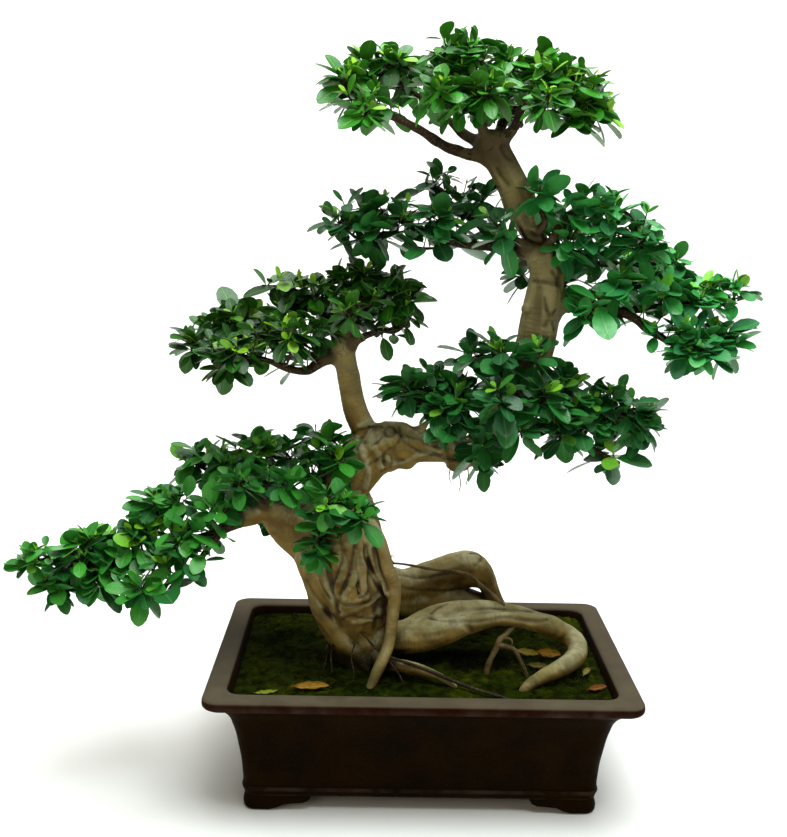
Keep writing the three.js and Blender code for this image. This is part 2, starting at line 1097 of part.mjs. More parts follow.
// The soil: it fills the tray to its inner face, with recesses for the screens and holes for the
// wood that runs down into it.
function makeSoil(woodHole) {
  const [brim, shoulder] = INNER_PROFILE.slice(1);
  const share = (SOIL_EDGE - shoulder[0]) / (brim[0] - shoulder[0]);
  const edgeInset = shoulder[1] + (brim[1] - shoulder[1]) * share + SOIL_GAP;
  const wall = INNER_PROFILE.slice(2).reverse();
  const sides = wall.map(([height, inset]) => {
    return soilRing(Math.max(height, FLOOR_TOP + GAP), inset + SOIL_GAP);
  });
  sides.push(soilRing(SOIL_EDGE, edgeInset));
  const top = SOIL_RINGS.map((size) =>
    soilRing(0, edgeInset, size).map((point) => point.setZ(soilHeight(point.x, point.y))),
  );
  const bed = solidOf(skin([...sides, ...top]));
  const half = SCREEN_SIZE / 2 + GAP;
  const height = SCREEN_THICKNESS + 2 * GAP;
  const recesses = [-1, 1].map((side) => {
    const box = new THREE.BoxGeometry(2 * half, 2 * half, height);
    return solidOf(box.translate((side * DRAIN_SPACING) / 2, 0, FLOOR_TOP + height / 2));
  });
  return largestBody(bed.subtract(join(recesses)).subtract(woodHole));
}

// Rings of a round stem that follows a route of [x, y, z, radius]. Each is square to the way there,
// but the last lies level where the stem carries a rosette.
function stemRings(route, sides, grow, levelEnd) {
  const points = route.map(([x, y, z]) => new THREE.Vector3(x, y, z));
  const last = points.length - 1;
  let across = new THREE.Vector3(0, 1, 0);
  return points.map((point, index) => {
    const before = points[Math.max(index - 1, 0)];
    const after = points[Math.min(index + 1, last)];
    const way = levelEnd && index === last ? UP : after.clone().sub(before).normalize();
    across = across.addScaledVector(way, -across.dot(way)).normalize();
    const up = way.clone().cross(across);
    const radius = route[index][3] + grow;
    return Array.from({ length: sides }, (_, side) => {
      const angle = (2 * Math.PI * side) / sides;
      return point
        .clone()
        .addScaledVector(across, radius * Math.cos(angle))
        .addScaledVector(up, radius * Math.sin(angle));
    });
  });
}

// A round stem along a route, grown by a margin where it is to cut a hole.
function makeStem(route, { sides, grow = 0, levelEnd = false }) {
  return solidOf(skin(stemRings(route, sides, grow, levelEnd)));
}

// The edge of one leaf from its stalk round its tip and back, as points of the middle of its
// thickness: it leaves the hub along the azimuth and slope, is widest past its middle, and its sides
// are raised over the midrib.
function leafEdge(hub, { azimuth, slope, lean, size }) {
  const rise = Math.atan(slope);
  const along = new THREE.Vector3(
    Math.cos(azimuth) * Math.cos(rise),
    Math.sin(azimuth) * Math.cos(rise),
    Math.sin(rise),
  );
  const level = new THREE.Vector3(-Math.sin(azimuth), Math.cos(azimuth), 0);
  const left = level.applyAxisAngle(along, lean);
  const normal = along.clone().cross(left);
  const outline = [
    [0.5, -0.5, 1],
    [0.82, -0.36, 0.6],
    [1, 0, 0],
    [0.82, 0.36, 0.6],
    [0.5, 0.5, 1],
  ];
  return outline.map(([share, side, cup]) => ({
    point: hub
      .clone()
      .addScaledVector(along, share * size * LEAF_LENGTH)
      .addScaledVector(left, side * size * LEAF_WIDTH)
      .addScaledVector(normal, cup * LEAF_CUP),
    normal,
  }));
}

// A thin closed blade. Its edge runs anticlockwise from above, and the same triangles split its
// upper and its lower face.
function bladeSolid(edge, triangles, thickness) {
  const count = edge.length;
  const face = (side) =>
    edge.map(({ point, normal }) => point.clone().addScaledVector(normal, side * thickness * 0.5));
  const faces = triangles.flatMap(([a, b, c]) => [a, b, c, count + a, count + c, count + b]);
  for (let corner = 0; corner < count; corner++) {
    const next = (corner + 1) % count;
    faces.push(count + corner, count + next, next);
    faces.push(count + corner, next, corner);
  }
  const geometry = new THREE.BufferGeometry().setFromPoints([...face(1), ...face(-1)]);
  geometry.setIndex(faces);
  return solidOf(geometry);
}

// A rosette: leaves that share one hub, in the order of their azimuths, as one star-shaped blade.
// Each leaf is a strip along its midrib with two raised sides, and the notches between the leaves
// are the corners of the hub.
function rosetteSolid(hub, leaves) {
  const count = leaves.length;
  const perLeaf = 6;
  const edge = leaves.flatMap((leaf, index) => {
    const before = leaves[(index + count - 1) % count].azimuth - (index === 0 ? 2 * Math.PI : 0);
    const between = (leaf.azimuth + before) / 2;
    const way = new THREE.Vector3(Math.cos(between), Math.sin(between), 0);
    const notch = { point: hub.clone().addScaledVector(way, NOTCH_RADIUS), normal: UP };
    return [notch, ...leafEdge(hub, leaf)];
  });
  const triangles = leaves.flatMap((_, index) => {
    const start = index * perLeaf;
    const end = ((index + 1) % count) * perLeaf;
    const strip = [start, start + 3, end];
    const right = [start, start + 1, start + 2, start + 3];
    const left = [end, start + 3, start + 4, start + 5];
    const sides = [right, left].flatMap(([a, b, c, d]) => [
      [a, b, c],
      [a, c, d],
    ]);
    const corner = index > 1 ? [[0, (index - 1) * perLeaf, start]] : [];
    return [strip, ...sides, ...corner];
  });
  return bladeSolid(edge, triangles, LEAF_THICKNESS);
}

// The room that one leaf takes with a clearance all round it.
function leafRoom(hub, leaf) {
  const grown = { ...leaf, size: leaf.size * (1 + (2 * CLEARANCE) / LEAF_WIDTH) };
  const edge = [{ point: hub, normal: UP }, ...leafEdge(hub, grown)];
  const solid = bladeSolid(edge, LEAF_FAN, LEAF_THICKNESS + 2 * CLEARANCE);
  return { solid, points: edge.map(({ point }) => point) };
}

// The pieces that are already in place, each with the branch that it belongs to.
const placed = [];

// A box round some points, with a margin on every side.
function boxAround(points, margin) {
  return new THREE.Box3().setFromPoints(points).expandByScalar(margin);
}

// True where a solid meets no piece but those that skip names.
function isClear(solid, box, skip) {
  return placed.every(
    (piece) => skip(piece) || !piece.box.intersectsBox(box) || solid.intersect(piece.solid).isEmpty(),
  );
}

// The trunk, its leaders and its roots joined in one piece of wood.
function makeWood(grow = 0) {
  return join(WOOD.map(({ route, sides }) => makeStem(route, { sides, grow })));
}

// The hub of a spray's rosette, a little under the middle of its room.
function hubOf([x, y, z, , reachUp]) {
  return new THREE.Vector3(x, y, z - 0.2 * reachUp);
}

// A limb's route, run on to the hub of the nearest spray where one is close ahead of its end.
function limbRoute(route, sprays) {
  const end = new THREE.Vector3(...route.at(-1));
  const [hub] = sprays.map(hubOf).sort((a, b) => a.distanceTo(end) - b.distanceTo(end));
  if (hub.distanceTo(end) >= LIMB_REACH) {
    return route;
  }
  return [...route.slice(0, -1), [...hub.toArray(), TWIG_RADIUS]];
}

// The limbs of each branch, cut clear of the wood and of the limbs that they spring from.
function makeLimbs(woodHole) {
  const done = [];
  return BRANCHES.map(({ name, limbs, sprays }) => {
    const routes = limbs.map((route) => limbRoute(route, sprays));
    const stem = (grow) => (route) => makeStem(route, { sides: LIMB_SIDES, grow, levelEnd: true });
    const all = (grow) => join(routes.map(stem(grow)));
    const clear = done.reduce((rest, earlier) => rest.subtract(earlier), all(0).subtract(woodHole));
    done.push(all(HOLE_GROWTH));
    const solid = largestBody(clear);
    const points = routes.flat().map(([x, y, z]) => new THREE.Vector3(x, y, z));
    placed.push({ branch: name, solid, box: boxAround(points, 12) });
    return solid;
  });
}

// The point of a branch's limbs that a twig to the hub springs from: near the hub, a little back
// towards the trunk.
function twigStart(limbs, hub) {
  const points = limbs.flatMap((route) =>
    route.slice(1).flatMap(([x, y, z, radius], index) => {
      const [px, py, pz, pr] = route[index];
      return [0.35, 0.7].map((share) => ({
        at: new THREE.Vector3(px, py, pz).lerp(new THREE.Vector3(x, y, z), share),
        radius: pr + (radius - pr) * share,
        order: index + share,
      }));
    }),
  );
  const cost = (point) => point.at.distanceTo(hub) + 4 * point.order;
  return points.reduce((best, next) => (cost(next) < cost(best) ? next : best));
}

// The route of a twig that leaves its limb and comes up under its hub.
function twigRoute(start, hub) {
  const reach = start.at.distanceTo(hub);
  const middle = start.at.clone().lerp(hub, 0.65);
  middle.z -= 0.25 * reach;
  return [
    [...start.at.toArray(), Math.min(start.radius * 0.8, TWIG_RADIUS * 1.5)],
    [...middle.toArray(), TWIG_RADIUS * 1.2],
    [...hub.toArray(), TWIG_RADIUS],
  ];
}

// The first of the nudges that brings a leaf clear of the other pieces, or nothing. Where none does,
// the leaf may cross the wood of its own branch, which it is joined with.
function clearLeaf(branch, index, hub, leaf) {
  for (const crossing of [false, true]) {
    for (const [turn, lift] of NUDGES) {
      const trial = { ...leaf, azimuth: leaf.azimuth + turn, slope: leaf.slope + lift };
      const room = leafRoom(hub, trial);
      const box = boxAround(room.points, 1);
      const isOwnTwig = (piece) => piece.twig === index || (crossing && !("rosette" in piece));
      const skip = (piece) => piece.rosette === index || (piece.branch === branch && isOwnTwig(piece));
      if (isClear(room.solid, box, skip)) {
        placed.push({ branch, rosette: index, solid: room.solid, box });
        return trial;
      }
    }
  }
  return null;
}

// The leaves of one spray, fanned round its hub and by turns about level and raised. A leaf that
// can't be brought clear of its neighbours is left out.
function sprayLeaves(branch, index, hub, [, , , reachSide, reachUp, count]) {
  const first = 2 * Math.PI * draw(index * 7 + 1);
  const leaves = Array.from({ length: count }, (_, leaf) => {
    const step = leaf + 0.3 * draw(index * 11 + leaf);
    const high = leaf % 2 === 0 ? 0.95 : 0;
    const spread = 0.3 * (draw(index * 3 + leaf) - 0.5);
    return clearLeaf(branch, index, hub, {
      azimuth: first + (2 * Math.PI * step) / count,
      slope: ((high + spread) * 1.3 * reachUp) / reachSide,
      size: 0.92 + 0.16 * draw(index * 5 + leaf + 3),
      lean: 0.5 * (draw(index * 13 + leaf) - 0.5),
    });
  });
  return leaves.filter(Boolean);
}

// One spray's twig with its rosette of leaves. A spray at the end of a limb needs no twig.
function makeSpray({ name, limbs, sprays }, spray, index) {
  const hub = hubOf(spray);
  const solids = [];
  const ends = limbs.map((route) => new THREE.Vector3(...limbRoute(route, sprays).at(-1)));
  const onLimb = ends.some((end) => end.equals(hub));
  if (!onLimb) {
    const route = twigRoute(twigStart(limbs, hub), hub);
    const box = boxAround(route.map(([x, y, z]) => new THREE.Vector3(x, y, z)), 4);
    const room = makeStem(route, { sides: TWIG_SIDES, grow: CLEARANCE, levelEnd: true });
    if (!isClear(room, box, (piece) => piece.branch === name)) {
      return [];
    }
    const twig = makeStem(route, { sides: TWIG_SIDES, levelEnd: true });
    placed.push({ branch: name, twig: index, solid: twig, box });
    solids.push(twig);
  }
  const leaves = sprayLeaves(name, index, hub, spray);
  return leaves.length < 2 ? solids : [...solids, rosetteSolid(hub, leaves)];
}

// The branches from the top of the crown down go from bright green to a deeper, bluer green.
function leafColor(branch) {
  const height = branch.sprays[0][2];
  const share = THREE.MathUtils.smoothstep(height, 420, 1000);
  return LEAF_SHADE.clone().lerp(LEAF_TOP, share);
}

// All the leafy branches, each with its twigs and leaves fused in one piece.
function makeBranches(woodHole) {
  const limbs = makeLimbs(woodHole);
  const sprays = BRANCHES.map(() => []);
  let index = 0;
  BRANCHES.forEach((branch, order) => {
    for (const spray of branch.sprays) {
      sprays[order].push(...makeSpray(branch, spray, index));
      index += 1;
    }
  });
  return BRANCHES.map((branch, order) => {
    const whole = largestBody(join([limbs[order], ...sprays[order]]));
    return meshOf(branch.name, whole, { color: leafColor(branch), roughness: 0.4, metalness: 0 });
  });
}

// A dead leaf that lies on the soil along its midrib, with its sides curled up.
function makeFallenLeaf({ at, turn, size, curl }) {
  const [length, width] = size;
  const angle = THREE.MathUtils.degToRad(turn);
  const outline = [
    [-0.5, 0],
    [0, -0.5],
    [0.32, -0.36],
    [0.5, 0],
    [0.32, 0.36],
    [0, 0.5],
  ];
  const edge = outline.map(([along, across]) => {
    const x = at[0] + along * length * Math.cos(angle) - across * width * Math.sin(angle);
    const y = at[1] + along * length * Math.sin(angle) + across * width * Math.cos(angle);
    const lift = curl * (2 * Math.abs(across)) ** 1.5;
    const height = soilHeight(x, y) + GAP + LEAF_THICKNESS / 2 + lift;
    return { point: new THREE.Vector3(x, y, height), normal: UP };
  });
  return bladeSolid(edge, LEAF_FAN, LEAF_THICKNESS);
}

// The whole plant in its tray.
function makeTree() {
  const tree = new THREE.Group();
  const wood = makeWood();
  const woodHole = makeWood(HOLE_GROWTH);
  const woodMesh = meshOf("wood", wood, BARK);
  placed.push({ branch: "wood", solid: wood, box: new THREE.Box3().setFromObject(woodMesh) });
  tree.add(meshOf("pot", makeTray(), CLAY));
  tree.add(meshOf("drain_screen_left", makeScreen(-DRAIN_SPACING / 2), PLASTIC));
  tree.add(meshOf("drain_screen_right", makeScreen(DRAIN_SPACING / 2), PLASTIC));
  tree.add(meshOf("soil", makeSoil(woodHole), EARTH));
  tree.add(woodMesh);
  tree.add(...makeBranches(woodHole));
  for (const leaf of FALLEN_LEAVES) {
    tree.add(meshOf(leaf.name, makeFallenLeaf(leaf), { ...DRY_LEAF, color: leaf.color }));
  }
  return tree;
}

// The part's origin is the middle of its whole footprint, on the ground.
const tree = makeTree();
const extent = new THREE.Box3().setFromObject(tree, true);
const middle = extent.getCenter(new THREE.Vector3());
tree.position.set(-middle.x, -middle.y, -extent.min.z);
const bonsai = new THREE.Group();
bonsai.add(tree);

export default bonsai;
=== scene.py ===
"""A fig bonsai in a footed clay tray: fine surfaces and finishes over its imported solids.

Shapes are worked out in millimetres from the middle of the tray's footprint, with +X to the right
of the front, +Y to the back and +Z up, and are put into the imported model's frame in metres.
"""

import logging
import math
from dataclasses import dataclass, field
from enum import Enum

import bpy
import numpy as np
from mathutils import Matrix, Vector


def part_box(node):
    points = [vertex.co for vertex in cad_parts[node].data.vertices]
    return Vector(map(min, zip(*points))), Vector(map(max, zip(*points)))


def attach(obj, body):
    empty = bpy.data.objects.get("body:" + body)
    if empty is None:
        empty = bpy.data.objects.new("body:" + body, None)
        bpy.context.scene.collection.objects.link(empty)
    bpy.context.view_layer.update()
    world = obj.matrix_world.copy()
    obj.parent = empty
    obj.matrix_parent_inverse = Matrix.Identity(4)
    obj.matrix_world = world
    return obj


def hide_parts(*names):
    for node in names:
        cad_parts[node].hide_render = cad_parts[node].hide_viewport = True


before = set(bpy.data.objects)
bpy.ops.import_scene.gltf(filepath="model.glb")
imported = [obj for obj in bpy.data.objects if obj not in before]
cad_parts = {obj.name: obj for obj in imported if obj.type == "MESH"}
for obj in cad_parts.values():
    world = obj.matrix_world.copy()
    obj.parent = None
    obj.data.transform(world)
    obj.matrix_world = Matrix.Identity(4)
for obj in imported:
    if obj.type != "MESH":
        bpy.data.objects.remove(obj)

Array = np.ndarray
Route = tuple[tuple[float, ...], ...]

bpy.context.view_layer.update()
MM = 0.001
UP = np.array([0.0, 0.0, 1.0])
AXES = np.eye(3, dtype=int)
GOLDEN_TURN = math.radians(137.5)
LOG = logging.getLogger("bonsai")


class Slot(Enum):
    """The record's material slots."""

    CLAY = "clay"
    SOIL = "soil"
    SCREEN = "screen"
    BARK = "bark"
    LEAF_BRIGHT = "leaf_bright"
    LEAF_DEEP = "leaf_deep"
    DRY_LEAF = "dry_leaf"


@dataclass(frozen=True)
class Stem:
    """A stem or root: its stations of x, y, z and radius, and how it flows into the wood.

    blend is the width over which it joins the wood before it, and flutes the depth of its flutes
    where its radius is 60 mm.
    """

    name: str
    blend: float
    flutes: float
    route: Route


@dataclass(frozen=True)
class CloseUp:
    """A close-up of the photograph with creases of the bark drawn on it.

    left and top are its corner in the photograph's pixels, and zoom is how many of its pixels make
    one of those. A crease is how many times wider than drawn it is pressed, and its points as x
    and y on the close-up and a radius in millimetres.
    """

    left: float
    top: float
    zoom: float
    creases: tuple[tuple[float, Route], ...]


@dataclass(frozen=True)
class Viewpoint:
    """Where the photograph was taken from.

    The place is in metres from the middle of the tray's footprint, the angles are in degrees and
    the picture's size is in pixels.
    """

    place: tuple[float, float, float] = (-0.066, -1.548, 0.861)
    yaw: float = -0.70
    dip: float = 11.81
    roll: float = 1.21
    lens: float = 47.31
    sensor: float = 36.0
    width: float = 787.0
    height: float = 837.0

    def axes(self) -> Array:
        """The directions to the right, to the top and ahead: turned by the yaw about Z, dipped,
        and rolled about the way ahead."""
        yaw, dip, roll = (math.radians(angle) for angle in (self.yaw, self.dip, self.roll))
        level = np.array([math.cos(yaw), math.sin(yaw), 0.0])
        ahead = np.array([-math.sin(yaw) * math.cos(dip), math.cos(yaw) * math.cos(dip), -math.sin(dip)])
        over = np.cross(level, ahead)
        right = math.cos(roll) * level + math.sin(roll) * over
        return np.array([right, math.cos(roll) * over - math.sin(roll) * level, ahead])

    def sight(self, pixels: Array) -> Array:
        """The directions of sight through some pixels: the way ahead, plus the ways right and down
        by a pixel's distance from the picture's middle over the lens's length in pixels."""
        right, top, ahead = self.axes()
        reach = self.lens / self.sensor * self.height
        share = (pixels - np.array([self.width, self.height]) / 2) / reach
        return unit(ahead + share[:, :1] * right - share[:, 1:] * top)


@dataclass(frozen=True)
class Branch:
    """A leafy branch: the routes of its limbs, with radii, and its sprays of leaves.

    A spray is x, y, z and its reach sideways and upwards.
    """

    name: str
    limbs: tuple[Route, ...]
    sprays: Route


# fmt: off
STEMS: tuple[Stem, ...] = (
    Stem("trunk", blend=0, flutes=9.5, route=(
        (-84, -15, 122, 34), (-86, -15, 152, 36), (-95, -15, 203, 40), (-103, -15, 258, 53),
        (-112, -15, 309, 61), (-124, -12, 354, 62), (-124, -8, 394, 52), (-119, -4, 431, 36),
        (-91, 0, 475, 36), (-59, 5, 495, 34), (-20, 10, 498, 25), (37, 15, 489, 17.5), (72, 15, 489, 23),
        (99, 14, 513, 24), (120, 12, 547, 24), (136, 9, 590, 25), (153, 2, 645, 27), (160, 0, 705, 26),
        (163, 0, 750, 23), (145, 0, 795, 15.5), (123, -4, 838, 22), (103, -5, 880, 20), (77, -5, 922, 21),
    )),
    Stem("left_leader", blend=9, flutes=4, route=(
        (-79, 0, 500, 19), (-101, -2, 546, 17), (-110, -4, 585, 15.5), (-117, -5, 624, 15),
        (-120, -5, 637, 14),
    )),
    Stem("low_limb", blend=14, flutes=5, route=(
        (-128, -18, 345, 40), (-150, -22, 366, 34), (-186, -26, 389, 26), (-224, -32, 405, 17),
        (-253, -38, 400, 12),
    )),
    Stem("front_loop_root", blend=9, flutes=4, route=(
        (-80, -22, 206, 24), (-35, -30, 214, 23), (1, -35, 219, 22), (36, -40, 230, 18), (72, -42, 242, 13),
        (106, -42, 250, 10), (143, -36, 247, 11), (182, -26, 236, 13), (216, -14, 219, 14),
        (231, -36, 207, 14.5), (218, -66, 199, 13.5), (191, -87, 193, 12), (167, -99, 186, 9.5),
        (148, -107, 176, 7), (136, -112, 158, 5),
    )),
    Stem("upper_lobe_root", blend=16, flutes=3, route=(
        (-40, -14, 206, 14), (6, -5, 229, 18), (43, 0, 241, 18), (81, 0, 246, 16), (118, 0, 246, 15),
        (155, -6, 242, 12.5), (192, -16, 232, 11),
    )),
    Stem("back_low_root", blend=8, flutes=3, route=(
        (-80, 40, 246, 34), (-54, 62, 237, 34), (-20, 80, 230, 31), (22, 97, 227, 24), (66, 106, 223, 21),
        (107, 110, 211, 17), (140, 112, 201, 12), (166, 112, 178, 11), (178, 110, 154, 8),
    )),
    Stem("back_arch_root", blend=9, flutes=3, route=(
        (-80, 38, 268, 30), (-58, 52, 266, 31), (-23, 70, 258, 25), (16, 84, 271, 22), (53, 95, 279, 23),
        (82, 99, 278, 25.5), (103, 100, 262, 17.5), (117, 100, 238, 11.5), (129, 100, 206, 10),
    )),
    Stem("front_thin_root", blend=7, flutes=0.8, route=(
        (-80, -30, 188, 12), (-48, -68, 191, 9.5), (-8, -90, 193, 8.5), (24, -102, 187, 5.5),
        (46, -110, 176, 4),
    )),
    Stem("hanging_root", blend=3.5, flutes=2, route=(
        (-86, -42, 402, 9), (-66, -53, 372, 10.5), (-54, -61, 335, 11), (-43, -63, 298, 11),
        (-43, -68, 268, 9), (-48, -80, 226, 8.5), (-62, -97, 195, 8), (-74, -107, 170, 6),
    )),
    Stem("left_root", blend=6, flutes=1, route=(
        (-169, -18, 352, 11), (-157, -24, 308, 11), (-143, -32, 268, 10.5), (-126, -38, 236, 10.5),
        (-104, -42, 198, 12), (-92, -44, 168, 11),
    )),
    Stem("left_foot_root", blend=9, flutes=2, route=(
        (-100, -8, 230, 28), (-114, 0, 196, 21), (-130, 10, 172, 14), (-146, 18, 150, 8),
    )),
    Stem("back_foot_root", blend=10, flutes=2.5, route=(
        (-100, 10, 250, 34), (-104, 40, 206, 24), (-112, 66, 176, 15), (-120, 84, 152, 9),
    )),
)

STRANDS: tuple[Route, ...] = (
    ((-173, -42, 339, 9), (-164, -37, 305, 9), (-156, -43, 286, 10), (-147, -45, 264, 12),
     (-136, -51, 249, 13), (-122, -52, 230, 14), (-109, -51, 212, 13), (-98, -50, 198, 12),
     (-87, -50, 184, 10), (-78, -50, 170, 8)),
    ((-159, -59, 367, 6.5), (-152, -64, 342, 7), (-145, -66, 322, 7), (-139, -67, 302, 7),
     (-130, -66, 285, 7), (-125, -65, 271, 5)),
    ((-146, -68, 362, 4), (-141, -69, 337, 5), (-135, -70, 315, 5.5), (-129, -71, 297, 5.5),
     (-125, -68, 282, 4)),
    ((-125, -70, 368, 6.5), (-119, -72, 342, 7), (-117, -73, 325, 6), (-121, -73, 305, 6),
     (-123, -70, 288, 4.5)),
    ((-93, -59, 375, 7), (-90, -64, 348, 7.5), (-88, -67, 327, 7.5), (-87, -69, 304, 6)),
    ((-101, -72, 327, 5.5), (-106, -74, 307, 6), (-111, -72, 291, 6), (-117, -68, 274, 4.5)),
    ((-84, -55, 378, 5.5), (-80, -56, 359, 6), (-74, -56, 341, 6.5), (-66, -54, 319, 6.5),
     (-56, -60, 304, 5.5)),
    ((-80, -53, 367, 4.2), (-71, -52, 339, 4.6), (-66, -53, 321, 4.8), (-57, -66, 310, 5),
     (-53, -69, 299, 4.8)),
    ((-79, -62, 324, 5), (-70, -58, 307, 6), (-61, -46, 290, 5)),
    ((-65, -51, 291, 5), (-76, -61, 284, 5.5), (-91, -67, 278, 6), (-106, -69, 274, 5.5),
     (-115, -68, 268, 4)),
    ((-57, -37, 273, 8), (-61, -44, 261, 8), (-71, -55, 258, 6.5), (-84, -63, 256, 5.5),
     (-97, -66, 254, 5)),
    ((-85, -63, 291, 9), (-98, -67, 286, 9), (-111, -68, 281, 7)),
    ((-104, 4, 508, 5), (-92, -22, 500, 5.5), (-88, -31, 482, 5.5), (-83, -31, 461, 5), (-85, -28, 440, 4)),
    ((-79, -16, 524, 5), (-78, -20, 506, 5.5), (-70, -27, 489, 5.5), (-64, -25, 472, 5)),
    ((-95, -15, 529, 4), (-75, -15, 534, 4.5), (-55, 3, 528, 4.5), (-36, 4, 524, 5), (-16, -4, 516, 5),
     (2, -8, 503, 5), (21, -8, 490, 5)),
    ((-60, -27, 487, 4.5), (-44, -15, 475, 4.5), (-23, -8, 479, 4.5), (-3, -10, 489, 4.5), (17, -6, 480, 5),
     (34, -1, 470, 5)),
    ((-3, 12, 519, 5), (13, 18, 518, 5), (30, 16, 508, 5), (43, -1, 498, 5)),
)

CLOSE_UPS: tuple[CloseUp, ...] = (
    CloseUp(left=295, top=520, zoom=9.225, creases=(
        (1.6, ((110, 560, 3.5), (170, 670, 4), (225, 745, 4.5), (285, 800, 4.5), (340, 855, 4.5),
             (390, 920, 4.5), (430, 985, 4))),
        (1.6, ((215, 250, 3.5), (250, 330, 3.5), (290, 430, 3.5), (312, 520, 3.5), (338, 620, 3.5),
             (362, 700, 3.5), (385, 780, 3.5), (405, 850, 3.5))),
        (1.35, ((225, 560, 3), (275, 655, 3.5), (325, 720, 3.2))),
        (1.6, ((455, 280, 4.5), (440, 380, 3.5), (402, 470, 3.2), (368, 570, 3.2), (352, 650, 3))),
        (1.6, ((545, 250, 4), (530, 360, 3.5), (505, 470, 3.2), (470, 580, 3.2), (415, 680, 3))),
        (1.6, ((650, 250, 5), (655, 350, 5.5), (678, 440, 5.5), (705, 515, 5), (745, 580, 4.5),
             (800, 640, 4.5), (838, 700, 4))),
        (1.6, ((735, 270, 4), (755, 370, 4.5), (782, 470, 4.5), (822, 560, 4.5), (845, 650, 4))),
        (1.35, ((668, 490, 3.2), (672, 580, 3.2), (680, 650, 3.5), (640, 700, 3.2), (590, 715, 3))),
        (1.6, ((780, 655, 3.5), (745, 705, 3.8), (690, 745, 3.8), (630, 765, 3.5), (550, 778, 3.2),
             (470, 780, 3.2), (400, 755, 3))),
        (1.6, ((845, 740, 4), (842, 830, 4), (838, 920, 4), (825, 1020, 4), (812, 1110, 4))),
        (1.35, ((830, 890, 4), (760, 908, 4), (690, 905, 3.6), (620, 900, 3.4), (540, 885, 3.2),
             (470, 895, 3.4), (425, 925, 3.4))),
    )),
    CloseUp(left=335, top=400, zoom=9.503, creases=(
        (1.35, ((160, 330, 3.2), (235, 280, 3.2), (320, 262, 3), (400, 245, 3), (460, 262, 3))),
        (1.8, ((468, 300, 2.6), (500, 262, 2.8), (550, 262, 2.8), (578, 300, 2.8), (545, 342, 3),
             (495, 345, 2.8), (468, 310, 2.6))),
        (1.6, ((612, 262, 3.4), (628, 330, 3.8), (618, 390, 4), (580, 430, 4), (556, 485, 4), (545, 550, 4),
             (540, 610, 3.4))),
        (1.6, ((570, 520, 5), (590, 560, 6), (640, 570, 4))),
        (1.35, ((448, 350, 2.8), (405, 405, 3.2), (350, 430, 3))),
        (1.6, ((520, 460, 3), (480, 500, 3.2), (462, 560, 3.2), (470, 620, 3))),
        (1.35, ((430, 540, 2.8), (370, 580, 3.2), (320, 620, 3))),
        (1.35, ((300, 300, 2.8), (255, 370, 3), (225, 440, 2.8))),
        (1.6, ((640, 385, 3.4), (710, 430, 3.4), (790, 480, 3.4), (870, 500, 3.2))),
        (1.6, ((720, 300, 3), (790, 350, 3.2), (860, 410, 3.2), (930, 440, 3.2), (1010, 430, 3))),
        (1.6, ((1062, 380, 3.4), (1066, 460, 3.6), (1072, 550, 3.6))),
        (1.6, ((900, 520, 3), (980, 530, 3.2), (1040, 560, 3.2))),
    )),
    CloseUp(left=390, top=540, zoom=7.467, creases=(
        (1, ((85, 345, 3.5), (170, 368, 4), (280, 372, 4.5), (400, 374, 4.5), (500, 364, 4.5),
             (590, 350, 4))),
        (1.35, ((60, 262, 3.5), (130, 272, 3.5), (220, 285, 3.5), (330, 268, 3.5), (450, 248, 3.5),
             (540, 240, 3.2))),
        (1.6, ((600, 100, 3), (655, 108, 3.2), (684, 128, 3.4), (668, 160, 3.4), (632, 192, 3))),
        (1.6, ((300, 585, 3.5), (380, 600, 3.8), (470, 604, 4), (560, 606, 4), (650, 603, 4), (740, 592, 4),
             (850, 576, 4), (950, 586, 4.5), (1050, 600, 4.5), (1120, 602, 4), (1180, 590, 3.2))),
        (1.6, ((420, 478, 3), (360, 505, 3.2), (310, 550, 3.2))),
        (1.6, ((555, 625, 4), (585, 655, 5), (610, 680, 4))),
    )),
    CloseUp(left=470, top=120, zoom=6.815, creases=(
        (2.2, ((470, 1140, 4), (462, 1200, 5), (455, 1270, 6), (447, 1350, 6.5), (442, 1430, 7),
             (440, 1500, 7))),
        (2.2, ((440, 1095, 2.6), (480, 1104, 3), (530, 1105, 3.5), (585, 1112, 4.5), (622, 1112, 5.5))),
        (2.2, ((505, 1215, 2.4), (520, 1290, 2.6), (548, 1360, 2.6), (570, 1430, 2.6))),
        (2.2, ((580, 1300, 2.6), (545, 1350, 3.2), (505, 1400, 3))),
        (2.2, ((560, 1035, 3), (590, 1075, 3.5), (622, 1085, 3.5))),
        (2.2, ((400, 575, 3), (372, 620, 3.5), (385, 680, 4), (415, 720, 4), (452, 700, 3))),
        (2.2, ((432, 618, 2.5), (446, 650, 3), (430, 680, 2.5))),
        (2.2, ((395, 760, 3), (440, 800, 4), (480, 830, 3.5))),
        (2.2, ((212, 180, 2.4), (228, 230, 2.6), (255, 262, 2.4), (285, 280, 2.4))),
        (2.2, ((185, 330, 2.4), (215, 380, 2.6), (260, 440, 2.6))),
    )),
)

